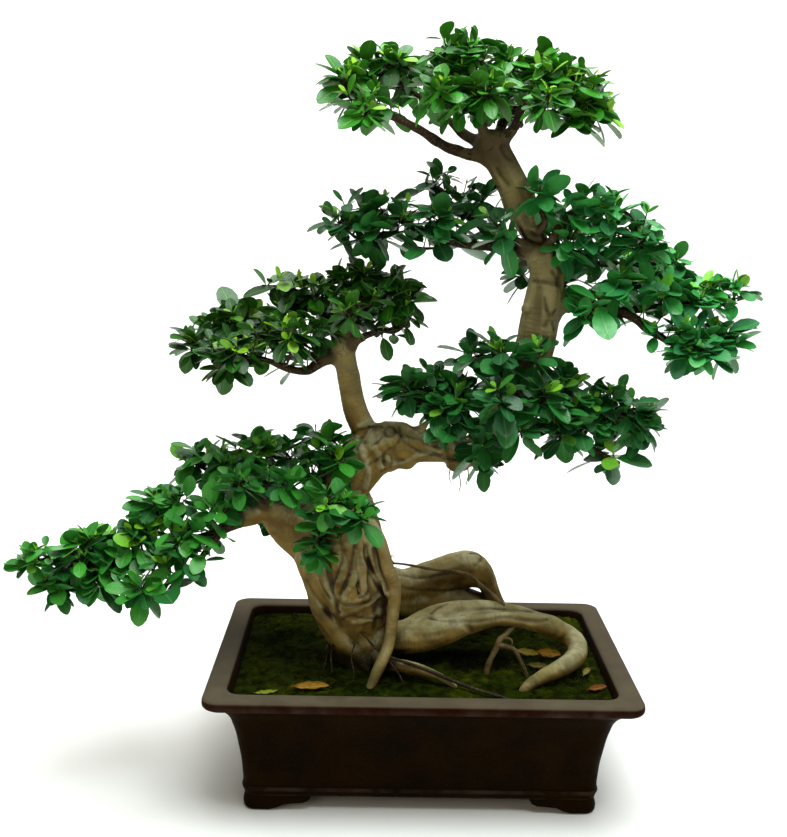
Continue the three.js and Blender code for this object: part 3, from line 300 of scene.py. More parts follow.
BRANCHES: tuple[Branch, ...] = (
    Branch("crown_left", limbs=(
        ((78, -6, 908, 10), (49, -8, 908, 8), (16, -12, 918, 7), (-18, -18, 938, 6), (-58, -24, 955, 5),
         (-98, -28, 973, 3.5), (-128, -32, 985, 2.5)),
    ), sprays=(
        (-124, -20, 1004, 37, 29), (-92, -70, 960, 34, 29), (-114, 40, 997, 36, 28),
    )),
    Branch("crown_left_back", limbs=(
        ((72, 2, 923, 7.5), (50, 8, 931, 7), (31, 16, 946, 6), (12, 30, 961, 4.5), (-19, 45, 985, 3.5),
         (-50, 55, 1007, 2.5)),
    ), sprays=(
        (-57, 10, 1029, 49, 27), (-98, 10, 1030, 20, 14), (-29, 100, 1015, 55, 29),
    )),
    Branch("crown_centre", limbs=(
        ((74, -16, 920, 8), (61, -28, 948, 6.5), (50, -42, 972, 5), (35, -52, 996, 3.5),
         (19, -55, 1013, 2.5)),
    ), sprays=(
        (15, -20, 1024, 46, 30), (39, -20, 1046, 8, 10), (2, -105, 981, 43, 28), (61, -100, 988, 41, 30),
        (28, -50, 976, 14, 8), (66, -26, 976, 14, 8),
    )),
    Branch("crown_right_back", limbs=(
        ((83, 4, 923, 8), (97, 18, 954, 6.5), (118, 34, 975, 5.5), (149, 50, 996, 4), (180, 58, 1015, 2.5)),
    ), sprays=(
        (92, 15, 1034, 49, 33), (128, 115, 1019, 58, 29), (172, 60, 1023, 43, 29),
    )),
    Branch("crown_right", limbs=(
        ((82, -8, 915, 9), (98, -16, 932, 7.5), (110, -24, 949, 6.5), (116, -32, 972, 5.5),
         (143, -40, 990, 4), (179, -42, 990, 3), (213, -44, 976, 2)),
    ), sprays=(
        (157, -25, 1016, 45, 32), (186, -30, 961, 17, 13), (150, 15, 1033, 32, 14), (217, -20, 976, 32, 40),
        (136, -95, 974, 41, 28), (217, 50, 994, 39, 34),
    )),
    Branch("left_pad_low", limbs=(
        ((-123, -8, 628, 8.5), (-148, -14, 622, 7.5), (-169, -22, 609, 6.5), (-189, -30, 609, 5.5),
         (-212, -36, 619, 4.5), (-248, -40, 629, 3.5), (-286, -42, 635, 3), (-316, -42, 640, 2)),
    ), sprays=(
        (-330, -30, 646, 36, 31), (-261, -85, 643, 40, 29), (-186, -90, 669, 45, 29),
        (-276, -60, 624, 8, 5), (-150, -30, 668, 16, 9),
    )),
    Branch("left_pad_mid", limbs=(
        ((-128, 0, 634, 8.5), (-157, 6, 624, 7.5), (-183, 14, 628, 6.5), (-204, 22, 630, 5.5),
         (-236, 32, 646, 4.5), (-277, 40, 663, 3), (-315, 44, 672, 2.5)),
    ), sprays=(
        (-275, 20, 676, 48, 31), (-245, 90, 662, 60, 30), (-315, 40, 658, 38, 29),
    )),
    Branch("left_pad_top", limbs=(
        ((-124, 2, 641, 8), (-140, 8, 671, 6.5), (-166, 14, 701, 5), (-200, 18, 720, 3.5),
         (-237, 20, 722, 2.5)),
    ), sprays=(
        (-160, 0, 714, 46, 30), (-205, 8, 692, 24, 14), (-88, -8, 742, 26, 22),
    )),
    Branch("left_pad_up", limbs=(
        ((-116, -6, 642, 8), (-110, -8, 676, 6), (-99, -10, 705, 5), (-75, -12, 722, 3.5),
         (-48, -12, 731, 2.5)),
    ), sprays=(
        (-117, -8, 733, 47, 31), (-50, -16, 730, 42, 31),
    )),
    Branch("left_pad_right", limbs=(
        ((-112, -12, 640, 6.5), (-92, -18, 657, 5), (-66, -24, 666, 4), (-41, -28, 672, 3.5),
         (-16, -32, 682, 2)),
    ), sprays=(
        (-30, -24, 715, 24, 13), (-112, -85, 701, 38, 20),
    )),
    Branch("left_pad_back", limbs=(
        ((-118, 8, 640, 7), (-112, 40, 662, 5), (-116, 70, 676, 4), (-129, 92, 679, 2.5)),
    ), sprays=(
        (-122, 95, 688, 63, 30), (-62, 55, 695, 41, 32),
    )),
    Branch("low_tip", limbs=(
        ((-250, -37, 400, 11), (-284, -44, 383, 8.5), (-319, -50, 368, 7), (-371, -55, 350, 6),
         (-410, -60, 341, 5), (-452, -62, 329, 4.5), (-501, -64, 318, 3), (-543, -66, 312, 2)),
    ), sprays=(
        (-551, -66, 340, 41, 36), (-480, -60, 358, 48, 40), (-520, -66, 300, 22, 14),
        (-462, -62, 310, 18, 14), (-384, -30, 416, 14, 12), (-404, -50, 378, 45, 37),
        (-352, -30, 424, 45, 36), (-460, 0, 340, 47, 32),
    )),
    Branch("low_front", limbs=(
        ((-265, -52, 400, 5.5), (-291, -70, 380, 5), (-318, -86, 346, 4.5), (-343, -94, 331, 4),
         (-367, -102, 311, 3), (-393, -108, 301, 2.5)),
    ), sprays=(
        (-391, -108, 317, 36, 22), (-328, -84, 392, 32, 20),
    )),
    Branch("low_top_left", limbs=(
        ((-192, -12, 389, 8.5), (-228, 6, 420, 6.5), (-271, 22, 439, 5.5), (-314, 32, 445, 4),
         (-347, 38, 445, 2.5)),
    ), sprays=(
        (-340, 36, 464, 44, 38), (-288, -10, 470, 16, 10), (-241, 40, 482, 47, 33), (-293, 90, 402, 52, 34),
        (-196, 34, 474, 42, 36),
    )),
    Branch("low_mid", limbs=(
        ((-226, -42, 413, 7), (-238, -58, 435, 5.5), (-248, -70, 449, 4), (-258, -78, 460, 2.5)),
    ), sprays=(
        (-259, -70, 457, 44, 39), (-300, -70, 414, 28, 18), (-193, -70, 456, 42, 36),
    )),
    Branch("low_top_right", limbs=(
        ((-139, -20, 390, 8.5), (-148, -22, 432, 6.5), (-148, -22, 471, 5), (-137, -22, 494, 3.5),
         (-123, -22, 509, 2.5)),
    ), sprays=(
        (-158, 0, 508, 41, 35), (-122, -50, 487, 36, 34), (-160, -24, 454, 14, 14),
    )),
    Branch("low_front_trunk", limbs=(
        ((-140, -54, 376, 6), (-146, -74, 388, 5.5), (-136, -88, 408, 4.5), (-119, -98, 423, 3.5),
         (-94, -104, 428, 2.5)),
    ), sprays=(
        (-135, -100, 440, 44, 36), (-92, -104, 425, 32, 29), (-152, -84, 366, 13, 22),
    )),
    Branch("low_back", limbs=(
        ((-167, 12, 367, 9), (-200, 50, 377, 6.5), (-227, 80, 380, 5), (-248, 104, 379, 3)),
    ), sprays=(
        (-249, 110, 384, 62, 37), (-169, 90, 388, 53, 37),
    )),
    Branch("second_left", limbs=(
        ((145, -6, 779, 10.5), (112, -10, 780, 8.5), (78, -14, 785, 7), (50, -18, 786, 6.5),
         (21, -22, 793, 6), (-8, -26, 805, 5), (-37, -28, 815, 4), (-72, -30, 824, 3.5),
         (-110, -30, 827, 2.5), (-137, -30, 825, 2)),
        ((28, -22, 789, 2.5), (18, -30, 787, 2), (2, -36, 782, 2), (-18, -42, 783, 2),
         (-32, -46, 789, 1.5)),
    ), sprays=(
        (-128, -24, 815, 40, 24), (-82, -38, 803, 35, 34), (-90, -24, 829, 32, 16), (12, -38, 826, 38, 27),
    )),
    Branch("second_left_top", limbs=(
        ((105, 0, 780, 7), (71, 14, 809, 5), (37, 22, 836, 4), (6, 26, 852, 2.5)),
    ), sprays=(
        (4, 22, 869, 42, 33), (70, 10, 852, 41, 34),
    )),
    Branch("second_left_front", limbs=(
        ((141, -7, 784, 7), (102, -42, 801, 4), (89, -56, 815, 3), (82, -64, 831, 2)),
    ), sprays=(
        (94, -60, 807, 37, 35),
    )),
    Branch("second_left_hang", limbs=(
        ((143, 10, 764, 5), (124, 28, 758, 3), (120, 38, 748, 2.5), (131, 44, 738, 1.5)),
    ), sprays=(
        (136, 44, 747, 22, 24),
    )),
    Branch("second_right_top", limbs=(
        ((152, -12, 780, 7), (165, -22, 796, 6), (171, -28, 811, 5), (191, -34, 830, 4),
         (225, -38, 842, 3.5), (263, -40, 834, 2.5), (292, -40, 816, 2)),
    ), sprays=(
        (204, -28, 855, 43, 32), (234, -44, 830, 42, 42), (291, -24, 794, 35, 36), (184, -22, 792, 28, 28),
    )),
    Branch("second_right_stub", limbs=(
        ((146, -14, 806, 5), (154, -24, 820, 4), (143, -34, 839, 3), (135, -40, 852, 2)),
    ), sprays=(
        (143, -40, 863, 35, 27),
    )),
    Branch("second_right_mid", limbs=(
        ((169, 8, 756, 7), (202, 22, 763, 5.5), (247, 34, 761, 5), (297, 42, 762, 4), (338, 46, 765, 3),
         (367, 48, 772, 2)),
    ), sprays=(
        (227, 28, 790, 43, 37), (352, 40, 766, 38, 24), (314, 95, 779, 50, 36), (190, 4, 738, 24, 18),
    )),
    Branch("second_right_main", limbs=(
        ((163, -4, 712, 14), (186, -2, 708, 11.5), (210, 0, 706, 10), (241, 2, 702, 8), (280, 2, 694, 7),
         (295, -2, 686, 6), (312, -8, 672, 5.5), (332, -14, 660, 5), (366, -22, 651, 4),
         (396, -30, 636, 2.5)),
    ), sprays=(
        (258, -30, 736, 44, 30), (216, -44, 702, 30, 27), (360, -36, 669, 42, 35), (352, -36, 649, 12, 8),
        (392, -38, 646, 35, 31), (423, 10, 662, 37, 34),
    )),
    Branch("second_right_upper", limbs=(
        ((274, 8, 698, 5.5), (315, 16, 702, 5), (359, 22, 708, 4.5), (403, 26, 718, 3.5),
         (437, 28, 729, 2.5)),
    ), sprays=(
        (326, -4, 729, 45, 34), (381, 0, 716, 43, 35), (438, 24, 724, 36, 38),
    )),
    Branch("second_right_back", limbs=(
        ((203, 14, 708, 7), (244, 50, 713, 5), (282, 84, 724, 4), (319, 106, 734, 2.5)),
    ), sprays=(
        (313, 105, 734, 63, 39), (389, 80, 720, 50, 33),
    )),
    Branch("mid_left", limbs=(
        ((123, 2, 561, 8.5), (89, -16, 574, 7), (45, -28, 583, 5.5), (3, -32, 583, 4),
         (-34, -34, 581, 2.5)),
    ), sprays=(
        (-30, -32, 588, 32, 24), (10, -14, 594, 33, 24), (44, -60, 569, 44, 36), (36, -62, 548, 24, 16),
        (21, 40, 558, 44, 32),
    )),
    Branch("mid_left_top", limbs=(
        ((137, -8, 598, 7), (108, -26, 624, 5.5), (79, -34, 636, 4), (54, -36, 644, 2.5)),
    ), sprays=(
        (58, -24, 637, 39, 34), (98, -66, 646, 35, 30),
    )),
    Branch("mid_front", limbs=(
        ((125, -2, 566, 9), (114, -46, 571, 6), (105, -78, 571, 4.5), (94, -104, 571, 2.5)),
    ), sprays=(
        (93, -112, 591, 43, 37), (126, -90, 549, 43, 38),
    )),
    Branch("mid_trunk", limbs=(
        ((146, -18, 626, 5), (154, -38, 643, 3.5), (154, -50, 656, 2.5)),
    ), sprays=(
        (146, -56, 642, 32, 23),
    )),
    Branch("mid_low", limbs=(
        ((67, -8, 489, 6.5), (73, -32, 501, 5), (74, -52, 503, 3.5), (74, -60, 490, 2)),
    ), sprays=(
        (76, -62, 519, 39, 32), (78, -58, 494, 14, 10),
    )),
    Branch("mid_right", limbs=(
        ((131, -8, 581, 10), (152, -20, 571, 8), (173, -28, 560, 7), (216, -36, 543, 5.5),
         (254, -38, 546, 4.5), (293, -40, 541, 3)),
        ((204, -34, 547, 5), (224, -42, 516, 4), (250, -46, 499, 3.5), (272, -50, 490, 2.5)),
    ), sprays=(
        (152, -84, 595, 41, 33), (186, -12, 600, 35, 24), (207, -48, 559, 45, 33), (186, -64, 539, 33, 22),
        (257, -30, 582, 36, 25), (302, -38, 560, 36, 33), (303, -38, 541, 22, 12),
    )),
    Branch("mid_back", limbs=(
        ((129, 14, 571, 8), (145, 46, 574, 6), (158, 78, 575, 4.5), (164, 102, 574, 3)),
    ), sprays=(
        (122, 100, 564, 58, 40), (204, 80, 557, 51, 36),
    )),
)
# fmt: on

Socket = bpy.types.NodeSocket
Feed = float | str | tuple[float, ...] | Socket


def blend_of(code: str) -> tuple[float, float, float, float]:
    """A colour of the screen, such as "8a6b40", as the light it stands for."""
    shares = [int(code[n : n + 2], 16) / 255 for n in (0, 2, 4)]
    linear = [s / 12.92 if s <= 0.04045 else ((s + 0.055) / 1.055) ** 2.4 for s in shares]
    return (linear[0], linear[1], linear[2], 1.0)


@dataclass
class Recipe:
    """Writes a node tree. Each method adds a node and gives back what it puts out."""

    tree: bpy.types.NodeTree

    def feed(self, socket: Socket, value: Feed) -> None:
        """Links a socket to another, or sets its number or its colour, given as such or by code."""
        if isinstance(value, Socket):
            self.tree.links.new(value, socket)
        else:
            socket.default_value = blend_of(value) if isinstance(value, str) else value

    def node(
        self, kind: str, feeds: dict[str | int, Feed], output: int = 0, **settings: object
    ) -> Socket:
        """Adds a node.

        Args:
            kind: the node's type, without "ShaderNode".
            feeds: what goes into its inputs, by name or number.
            output: the number of the output that is wanted.
            settings: the node's own properties.

        Returns:
            The output.
        """
        node = self.tree.nodes.new(f"ShaderNode{kind}")
        for key, value in settings.items():
            setattr(node, key, value)
        for key, value in feeds.items():
            self.feed(node.inputs[key], value)
        return node.outputs[output]

    def place(self) -> Socket:
        """The place on the object, in metres."""
        return self.node("TexCoord", {}, 3)

    def height(self) -> Socket:
        """The height over the ground, in metres."""
        return self.node("SeparateXYZ", {0: self.place()}, 2)

    def number(self, name: str) -> Socket:
        """A value that the mesh carries."""
        return self.node("Attribute", {}, 2, attribute_name=name)

    def sum(self, operation: str, *values: Feed) -> Socket:
        """A sum of one, two or three numbers."""
        return self.node("Math", dict(enumerate(values)), operation=operation)

    def times(self, one: Feed, two: Feed) -> Socket:
        """A number times another."""
        return self.sum("MULTIPLY", one, two)

    def scaled(self, value: Feed, factor: float, plus: Feed) -> Socket:
        """A number times a factor, plus another."""
        return self.sum("MULTIPLY_ADD", value, factor, plus)

    def step(self, value: Feed, low: Feed, high: Feed, start: float = 0.0, end: float = 1.0) -> Socket:
        """A smooth step from start, where the value is low, to end, where it is high."""
        feeds = {0: value, 1: low, 2: high, 3: start, 4: end}
        return self.node("MapRange", feeds, interpolation_type="SMOOTHSTEP")

    def noise(self, vector: Feed, scale: Feed, detail: float = 3.0, warp: float = 0.0) -> Socket:
        """Noise from 0 to 1, with scale periods to the metre."""
        return self.node("TexNoise", {"Vector": vector, "Scale": scale, "Detail": detail, "Distortion": warp})

    def mix(self, share: Feed, one: Feed, two: Feed) -> Socket:
        """A blend of two colours, with the second one's share."""
        return self.node("Mix", {0: share, 6: one, 7: two}, 2, data_type="RGBA")

    def group(self, tree: bpy.types.NodeTree, **feeds: Feed) -> Socket:
        """A group, whose inputs are named with _ for each space."""
        node = self.tree.nodes.new("ShaderNodeGroup")
        node.node_tree = tree
        for key, value in feeds.items():
            self.feed(node.inputs[key.replace("_", " ")], value)
        return node.outputs[0]


@dataclass(frozen=True)
class Effect:
    """A shader group that several finishes share: its name, its inputs and its one output."""

    name: str
    inputs: tuple[tuple[str, str], ...]
    output: tuple[str, str]

    def start(self) -> tuple[bpy.types.NodeTree, Recipe, dict[str, Socket], Socket]:
        """Makes the group's tree with its sockets.

        Returns:
            The tree, its recipe, the group's inputs by name and the socket of its output.
        """
        tree = bpy.data.node_groups.new(self.name, "ShaderNodeTree")
        for name, kind in self.inputs:
            tree.interface.new_socket(name, in_out="INPUT", socket_type=f"NodeSocket{kind}")
        name, kind = self.output
        tree.interface.new_socket(name, in_out="OUTPUT", socket_type=f"NodeSocket{kind}")
        entry = tree.nodes.new("NodeGroupInput")
        leave = tree.nodes.new("NodeGroupOutput")
        return tree, Recipe(tree), {s.name: s for s in entry.outputs if s.name}, leave.inputs[0]


def mottle_group() -> bpy.types.NodeTree:
    """Blotches: noise, smoothly stepped between two of its levels."""
    inputs = (("Vector", "Vector"), ("Scale", "Float"), ("Low", "Float"), ("High", "Float"))
    tree, recipe, given, out = Effect("Mottle", inputs, ("Mask", "Float")).start()
    blotch = recipe.noise(given["Vector"], given["Scale"], 5.0, 0.4)
    recipe.feed(out, recipe.step(blotch, given["Low"], given["High"]))
    return tree


def shade_and_grime_group() -> bpy.types.NodeTree:
    """Painted shade with grimy stains in folds: the crease value times the amount, broken up by noise,
    blends in its colour.
    """
    inputs = (("Color", "Color"), ("Grime Color", "Color"), ("Crease", "Float"), ("Vector", "Vector"))
    inputs = (*inputs, ("Scale", "Float"), ("Amount", "Float"))
    tree, recipe, given, out = Effect("Grime", inputs, ("Color", "Color")).start()
    broken = recipe.noise(given["Vector"], given["Scale"], 4.0)
    depth = recipe.times(given["Crease"], given["Amount"])
    loose = recipe.scaled(broken, 0.7, -0.35)
    share = recipe.step(recipe.sum("ADD", depth, recipe.times(loose, depth)), 0.12, 1.0)
    recipe.feed(out, recipe.mix(share, given["Color"], given["Grime Color"]))
    return tree


def relief_group() -> bpy.types.NodeTree:
    """A rough height: a share of coarse noise and the rest of fine noise."""
    numbers = ("Fine Scale", "Coarse Scale", "Coarse Share")
    inputs = (("Vector", "Vector"), *((name, "Float") for name in numbers))
    tree, recipe, given, out = Effect("Relief", inputs, ("Height", "Float")).start()
    fine = recipe.noise(given["Vector"], given["Fine Scale"], 4.0)
    coarse = recipe.noise(given["Vector"], given["Coarse Scale"], 3.0)
    feeds = {0: given["Coarse Share"], 2: fine, 3: coarse}
    recipe.feed(out, recipe.node("Mix", feeds, 0, data_type="FLOAT"))
    return tree


@dataclass(frozen=True)
class Effects:
    """The shader groups that the finishes share."""

    mottle: bpy.types.NodeTree
    shade_and_grime: bpy.types.NodeTree
    relief: bpy.types.NodeTree

    def blotches(self, recipe: Recipe, place: Socket, scale: float, low: float, high: float) -> Socket:
        """Blotches, with scale periods to the metre, between two levels of their noise."""
        return recipe.group(self.mottle, Vector=place, Scale=scale, Low=low, High=high)

    def rough(self, recipe: Recipe, place: Socket, fine: float, coarse: float, share: float) -> Socket:
        """A rough height from noise of two scales, with the coarse one's share."""
        feeds = {"Fine_Scale": fine, "Coarse_Scale": coarse, "Coarse_Share": share}
        return recipe.group(self.relief, Vector=place, **feeds)

    def shaded_and_soiled(
        self, recipe: Recipe, place: Socket, color: Feed, shade_and_dirt: str, scale: float, amount: float
    ) -> Socket:
        """A colour with painted shade and grimy stains in the folds that the value "crease" gives."""
        feeds = {"Color": color, "Grime_Color": shade_and_dirt, "Crease": recipe.number("crease")}
        return recipe.group(self.shade_and_grime, **feeds, Vector=place, Scale=scale, Amount=amount)


@dataclass(frozen=True)
class Finish:
    """A finish: its name, its gloss and the depth of its relief in millimetres."""

    name: str
    gloss: float
    relief_depth: float

    def start(self) -> tuple[bpy.types.Material, Recipe, bpy.types.Node]:
        """Makes the material with its shader.

        Returns:
            The material, its recipe and the shader's node.
        """
        material = bpy.data.materials.new(self.name)
        material.use_nodes = True
        shader = material.node_tree.nodes["Principled BSDF"]
        shader.inputs["Specular IOR Level"].default_value = self.gloss
        return material, Recipe(material.node_tree), shader

    def dress(self, recipe: Recipe, shader: bpy.types.Node, color: Feed, rough: Feed, height: Feed) -> None:
        """Feeds a shader its colour, its roughness and the bump of its relief.

        Args:
            recipe: the material's recipe.
            shader: the shader's node.
            color: the colour.
            rough: the roughness.
            height: the relief's height, from 0 to 1.
        """
        bump = recipe.node("Bump", {"Height": height, "Distance": self.relief_depth * MM, "Strength": 1.0})
        recipe.feed(shader.inputs["Base Color"], color)
        recipe.feed(shader.inputs["Roughness"], rough)
        recipe.feed(shader.inputs["Normal"], bump)


@dataclass(frozen=True)
class BarkFinish(Finish):
    """Smooth fig bark: painted pale where it faces up and where it bulges, as painted light from above, brown
    on its sides, greyer on the young leaders, with rings across the stem, folds and crease lines
    darkened by painted shade with grimy stains, brown thin limbs, moss stains at its foot and a
    near-black painted shadow with a muddy stain under the trunk."""

    name: str = "fig_bark"
    gloss: float = 0.22
    relief_depth: float = 1.1
    # The two colours of the painted light from above on surfaces that face up.
    pale: str = "a39d78"
    patches: str = "857b4c"
    tan: str = "866e30"
    umber: str = "62491f"
    olive: str = "5e5424"
    # The painted shade in folds and along crease lines, with grimy stains.
    fold: str = "271907"
    lichen: str = "2e3009"
    brown: str = "38260f"
    # The near-black painted shadow with a muddy stain under the trunk.
    shade_and_dirt: str = "121107"
    young: str = "9a9468"
    young_from: tuple[float, float] = (0.52, 0.68)
    thin: tuple[float, float] = (15.0, 9.0)
    top: tuple[float, float] = (0.862, 0.908)
    ring_spacing: float = 7.0

    def build(self, effects: Effects) -> bpy.types.Material:
        """Makes the material, from the values that the wood carries."""
        material, recipe, shader = self.start()
        place = recipe.place()
        blotch = effects.blotches(recipe, place, 22.0, 0.38, 0.62)
        sides = recipe.mix(blotch, self.tan, self.umber)
        # Painted light: surfaces that face up are painted pale as if lit from above, and bulges get a painted
        # highlight.
        above = recipe.mix(blotch, self.pale, self.patches)
        cloud = recipe.scaled(recipe.noise(place, 34.0), 0.8, -0.4)
        up = recipe.sum("ADD", recipe.number("up"), cloud)
        up = recipe.step(recipe.scaled(recipe.number("ridge"), 0.7, up), -0.15, 0.95)
        color = recipe.mix(up, sides, above)
        streak = effects.blotches(recipe, place, 60.0, 0.45, 0.68)
        color = recipe.mix(recipe.times(streak, 0.4), color, self.olive)
        high = recipe.times(recipe.step(recipe.height(), *self.young_from), 0.55)
        color = recipe.mix(high, color, self.young)
        foot = recipe.step(recipe.height(), 0.32, 0.19)
        damp = effects.blotches(recipe, place, 35.0, 0.4, 0.66)
        foot = recipe.times(foot, recipe.times(damp, 0.55))
        color = recipe.mix(foot, color, self.lichen)
        thin = recipe.step(recipe.number("girth"), *self.thin)
        thin = recipe.sum("MAXIMUM", thin, recipe.step(recipe.height(), *self.top))
        color = recipe.mix(recipe.times(thin, 0.85), color, self.brown)
        waver = recipe.times(recipe.noise(place, 40.0), 1.6)
        rings = recipe.scaled(recipe.number("along"), 1.0 / self.ring_spacing, waver)
        rings = recipe.sum("SINE", recipe.times(rings, 2 * math.pi))
        rings = recipe.step(rings, 0.35, 1.0)
        here = effects.blotches(recipe, place, 30.0, 0.42, 0.6)
        rings = recipe.times(rings, here)
        color = recipe.mix(recipe.times(rings, 0.25), color, self.olive)
        # Painted shade with grimy stains darkens the folds.
        color = effects.shaded_and_soiled(recipe, place, color, self.fold, 90.0, 1.25)
        # Painted shade along the drawn crease lines, partly the bark's own dark lines.
        line = recipe.times(recipe.number("line"), recipe.scaled(blotch, 0.25, 0.52))
        color = recipe.mix(line, color, self.fold)
        # Near-black painted shadow with a muddy stain under the trunk, by the soil.
        color = recipe.mix(recipe.times(recipe.number("mud"), 0.9), color, self.shade_and_dirt)
        relief = effects.rough(recipe, place, 420.0, 90.0, 0.55)
        height = recipe.scaled(rings, -0.35, relief)
        rough = recipe.step(relief, 0.3, 0.7, 0.55, 0.8)
        self.dress(recipe, shader, color, rough, height)
        return material


@dataclass(frozen=True)
class TwigFinish(Finish):
    """Brown bark of the thin limbs and twigs, with pale pores."""

    name: str = "twig_bark"
    gloss: float = 0.2
    relief_depth: float = 0.4
    brown: str = "33240f"
    dark: str = "1a1106"
    pore: str = "6a5c40"

    def build(self, effects: Effects) -> bpy.types.Material:
        """Makes the material."""
        material, recipe, shader = self.start()
        place = recipe.place()
        blotch = effects.blotches(recipe, place, 45.0, 0.35, 0.65)
        color = recipe.mix(blotch, self.brown, self.dark)
        pores = effects.blotches(recipe, place, 420.0, 0.56, 0.66)
        color = recipe.mix(recipe.times(pores, 0.6), color, self.pore)
        relief = effects.rough(recipe, place, 600.0, 150.0, 0.4)
        self.dress(recipe, shader, color, recipe.step(relief, 0.3, 0.7, 0.6, 0.85), relief)
        return material


@dataclass(frozen=True)
class LeafFinish(Finish):
    """Glossy fig leaves: young ones yellow-green, old ones deep, with a pale midrib and veins."""

    gloss: float = 0.5
    relief_depth: float = 0.25
    young: str = "9cc233"
    mature: str = "3f8a1e"
    deep: str = "1c5220"
    rib: str = "8fb85a"
    below: str = "5f8f45"
    cool: str = "1f6a48"
    cool_share: float = 0.0
    rough: tuple[float, float] = (0.3, 0.52)

    def build(self, effects: Effects) -> bpy.types.Material:
        """Makes the material, from the values "age", "tone", "across", "ahead" and "below"."""
        material, recipe, shader = self.start()
        place = recipe.place()
        age, tone = recipe.number("age"), recipe.number("tone")
        side = recipe.sum("ABSOLUTE", recipe.number("across"))
        color = recipe.mix(recipe.step(age, 0.0, 0.75), self.young, self.mature)
        old = recipe.times(recipe.step(age, 0.35, 1.0), recipe.step(tone, 0.1, 0.95))
        color = recipe.mix(old, color, self.deep)
        blotch = effects.blotches(recipe, place, 140.0, 0.35, 0.7)
        color = recipe.mix(recipe.times(blotch, 0.25), color, self.deep)
        grown = recipe.times(recipe.step(age, 0.2, 0.7), self.cool_share)
        color = recipe.mix(grown, color, self.cool)
        rib = recipe.step(side, 0.13, 0.03)
        slant = recipe.scaled(side, -2.2, recipe.times(recipe.number("ahead"), 11.0))
        vein = recipe.sum("SINE", recipe.times(slant, 2 * math.pi))
        vein = recipe.times(recipe.step(vein, 0.82, 1.0), recipe.step(side, 0.95, 0.5))
        lines = recipe.sum("MAXIMUM", recipe.times(rib, 0.32), recipe.times(vein, 0.1))
        color = recipe.mix(lines, color, self.rib)
        color = recipe.mix(recipe.times(recipe.number("below"), 0.6), color, self.below)
        height = recipe.sum("ADD", recipe.times(rib, -0.8), recipe.times(vein, -0.4))
        height = recipe.scaled(blotch, 0.5, height)
        shine = recipe.scaled(tone, 0.5, recipe.times(blotch, 0.5))
        rough = recipe.step(shine, 0.0, 1.0, *self.rough)
        self.dress(recipe, shader, color, rough, height)
        return material


@dataclass(frozen=True)
class ClayFinish(Finish):
    """Unglazed dark brown clay: grey-mauve on the rim's top in patches as a painted reflection of the
    sky, rubbed paler on its edges, redder under the rim, specked all over, with painted shade and
    grimy stains in its inner corners.
    """

    name: str = "tray_clay"
    gloss: float = 0.015
    relief_depth: float = 0.45
    body: str = "180c00"
    dark: str = "0f0701"
    red: str = "1f0700"
    # The rim's top colour is a painted reflection of the sky.
    rim: str = "564e3e"
    dust: str = "4c4036"
    rim_height: float = 0.1865

    def build(self, effects: Effects) -> bpy.types.Material:
        """Makes the material, from the values "edge", "crease" and "inner"."""
        material, recipe, shader = self.start()
        place, height = recipe.place(), recipe.height()
        blotch = effects.blotches(recipe, place, 14.0, 0.35, 0.68)
        color = recipe.mix(blotch, self.body, self.dark)
        lip = recipe.times(recipe.step(height, 0.158, 0.174), 0.8)
        lip = recipe.sum("SUBTRACT", lip, recipe.number("inner"))
        color = recipe.mix(recipe.sum("MAXIMUM", lip, 0.0), color, self.red)
        patches = effects.blotches(recipe, place, 30.0, 0.3, 0.75)
        # The rim's top painted grey-mauve in patches: a painted reflection of the sky.
        top = recipe.step(height, self.rim_height - 0.0035, self.rim_height - 0.0005)
        top = recipe.times(top, recipe.scaled(patches, 0.3, 0.7))
        color = recipe.mix(top, color, self.rim)
        rub = recipe.times(recipe.number("edge"), recipe.times(patches, 0.4))
        color = recipe.mix(rub, color, self.dust)
        specks = effects.blotches(recipe, place, 700.0, 0.6, 0.68)
        color = recipe.mix(recipe.times(specks, 0.16), color, self.dust)
        # Painted shade with grimy stains in the profile's inner corners.
        color = effects.shaded_and_soiled(recipe, place, color, self.dark, 60.0, 1.2)
        relief = effects.rough(recipe, place, 900.0, 70.0, 0.45)
        self.dress(recipe, shader, color, recipe.step(patches, 0.0, 1.0, 0.45, 0.62), relief)
        return material


@dataclass(frozen=True)
class MossFinish(Finish):
    """Moss on damp soil: dark between the clumps, yellow-green on their tips, and near-black unmossed
    soil under the trunk and among the roots, partly painted shadow.
    """

    name: str = "moss"
    gloss: float = 0.01
    relief_depth: float = 1.6
    shade: str = "0b0f02"
    green: str = "1e2804"
    tip: str = "595f0b"
    soil: str = "070501"

    def build(self, effects: Effects) -> bpy.types.Material:
        """Makes the material, from the values "tip" and "bare"."""
        material, recipe, shader = self.start()
        place = recipe.place()
        blotch = effects.blotches(recipe, place, 60.0, 0.35, 0.65)
        color = recipe.mix(blotch, self.shade, self.green)
        fresh = effects.blotches(recipe, place, 18.0, 0.4, 0.65)
        fresh = recipe.times(recipe.number("tip"), recipe.scaled(fresh, 0.75, 0.2))
        color = recipe.mix(fresh, color, self.tip)
        # Near-black soil under the trunk and among the roots: unmossed, and darkened as painted shadow.
        crumbs = effects.blotches(recipe, place, 240.0, 0.35, 0.6)
        bare = recipe.times(recipe.number("bare"), recipe.scaled(crumbs, 0.3, 0.7))
        color = recipe.mix(bare, color, self.soil)
        relief = effects.rough(recipe, place, 900.0, 260.0, 0.5)
        self.dress(recipe, shader, color, recipe.step(relief, 0.3, 0.7, 0.8, 0.95), relief)
        return material


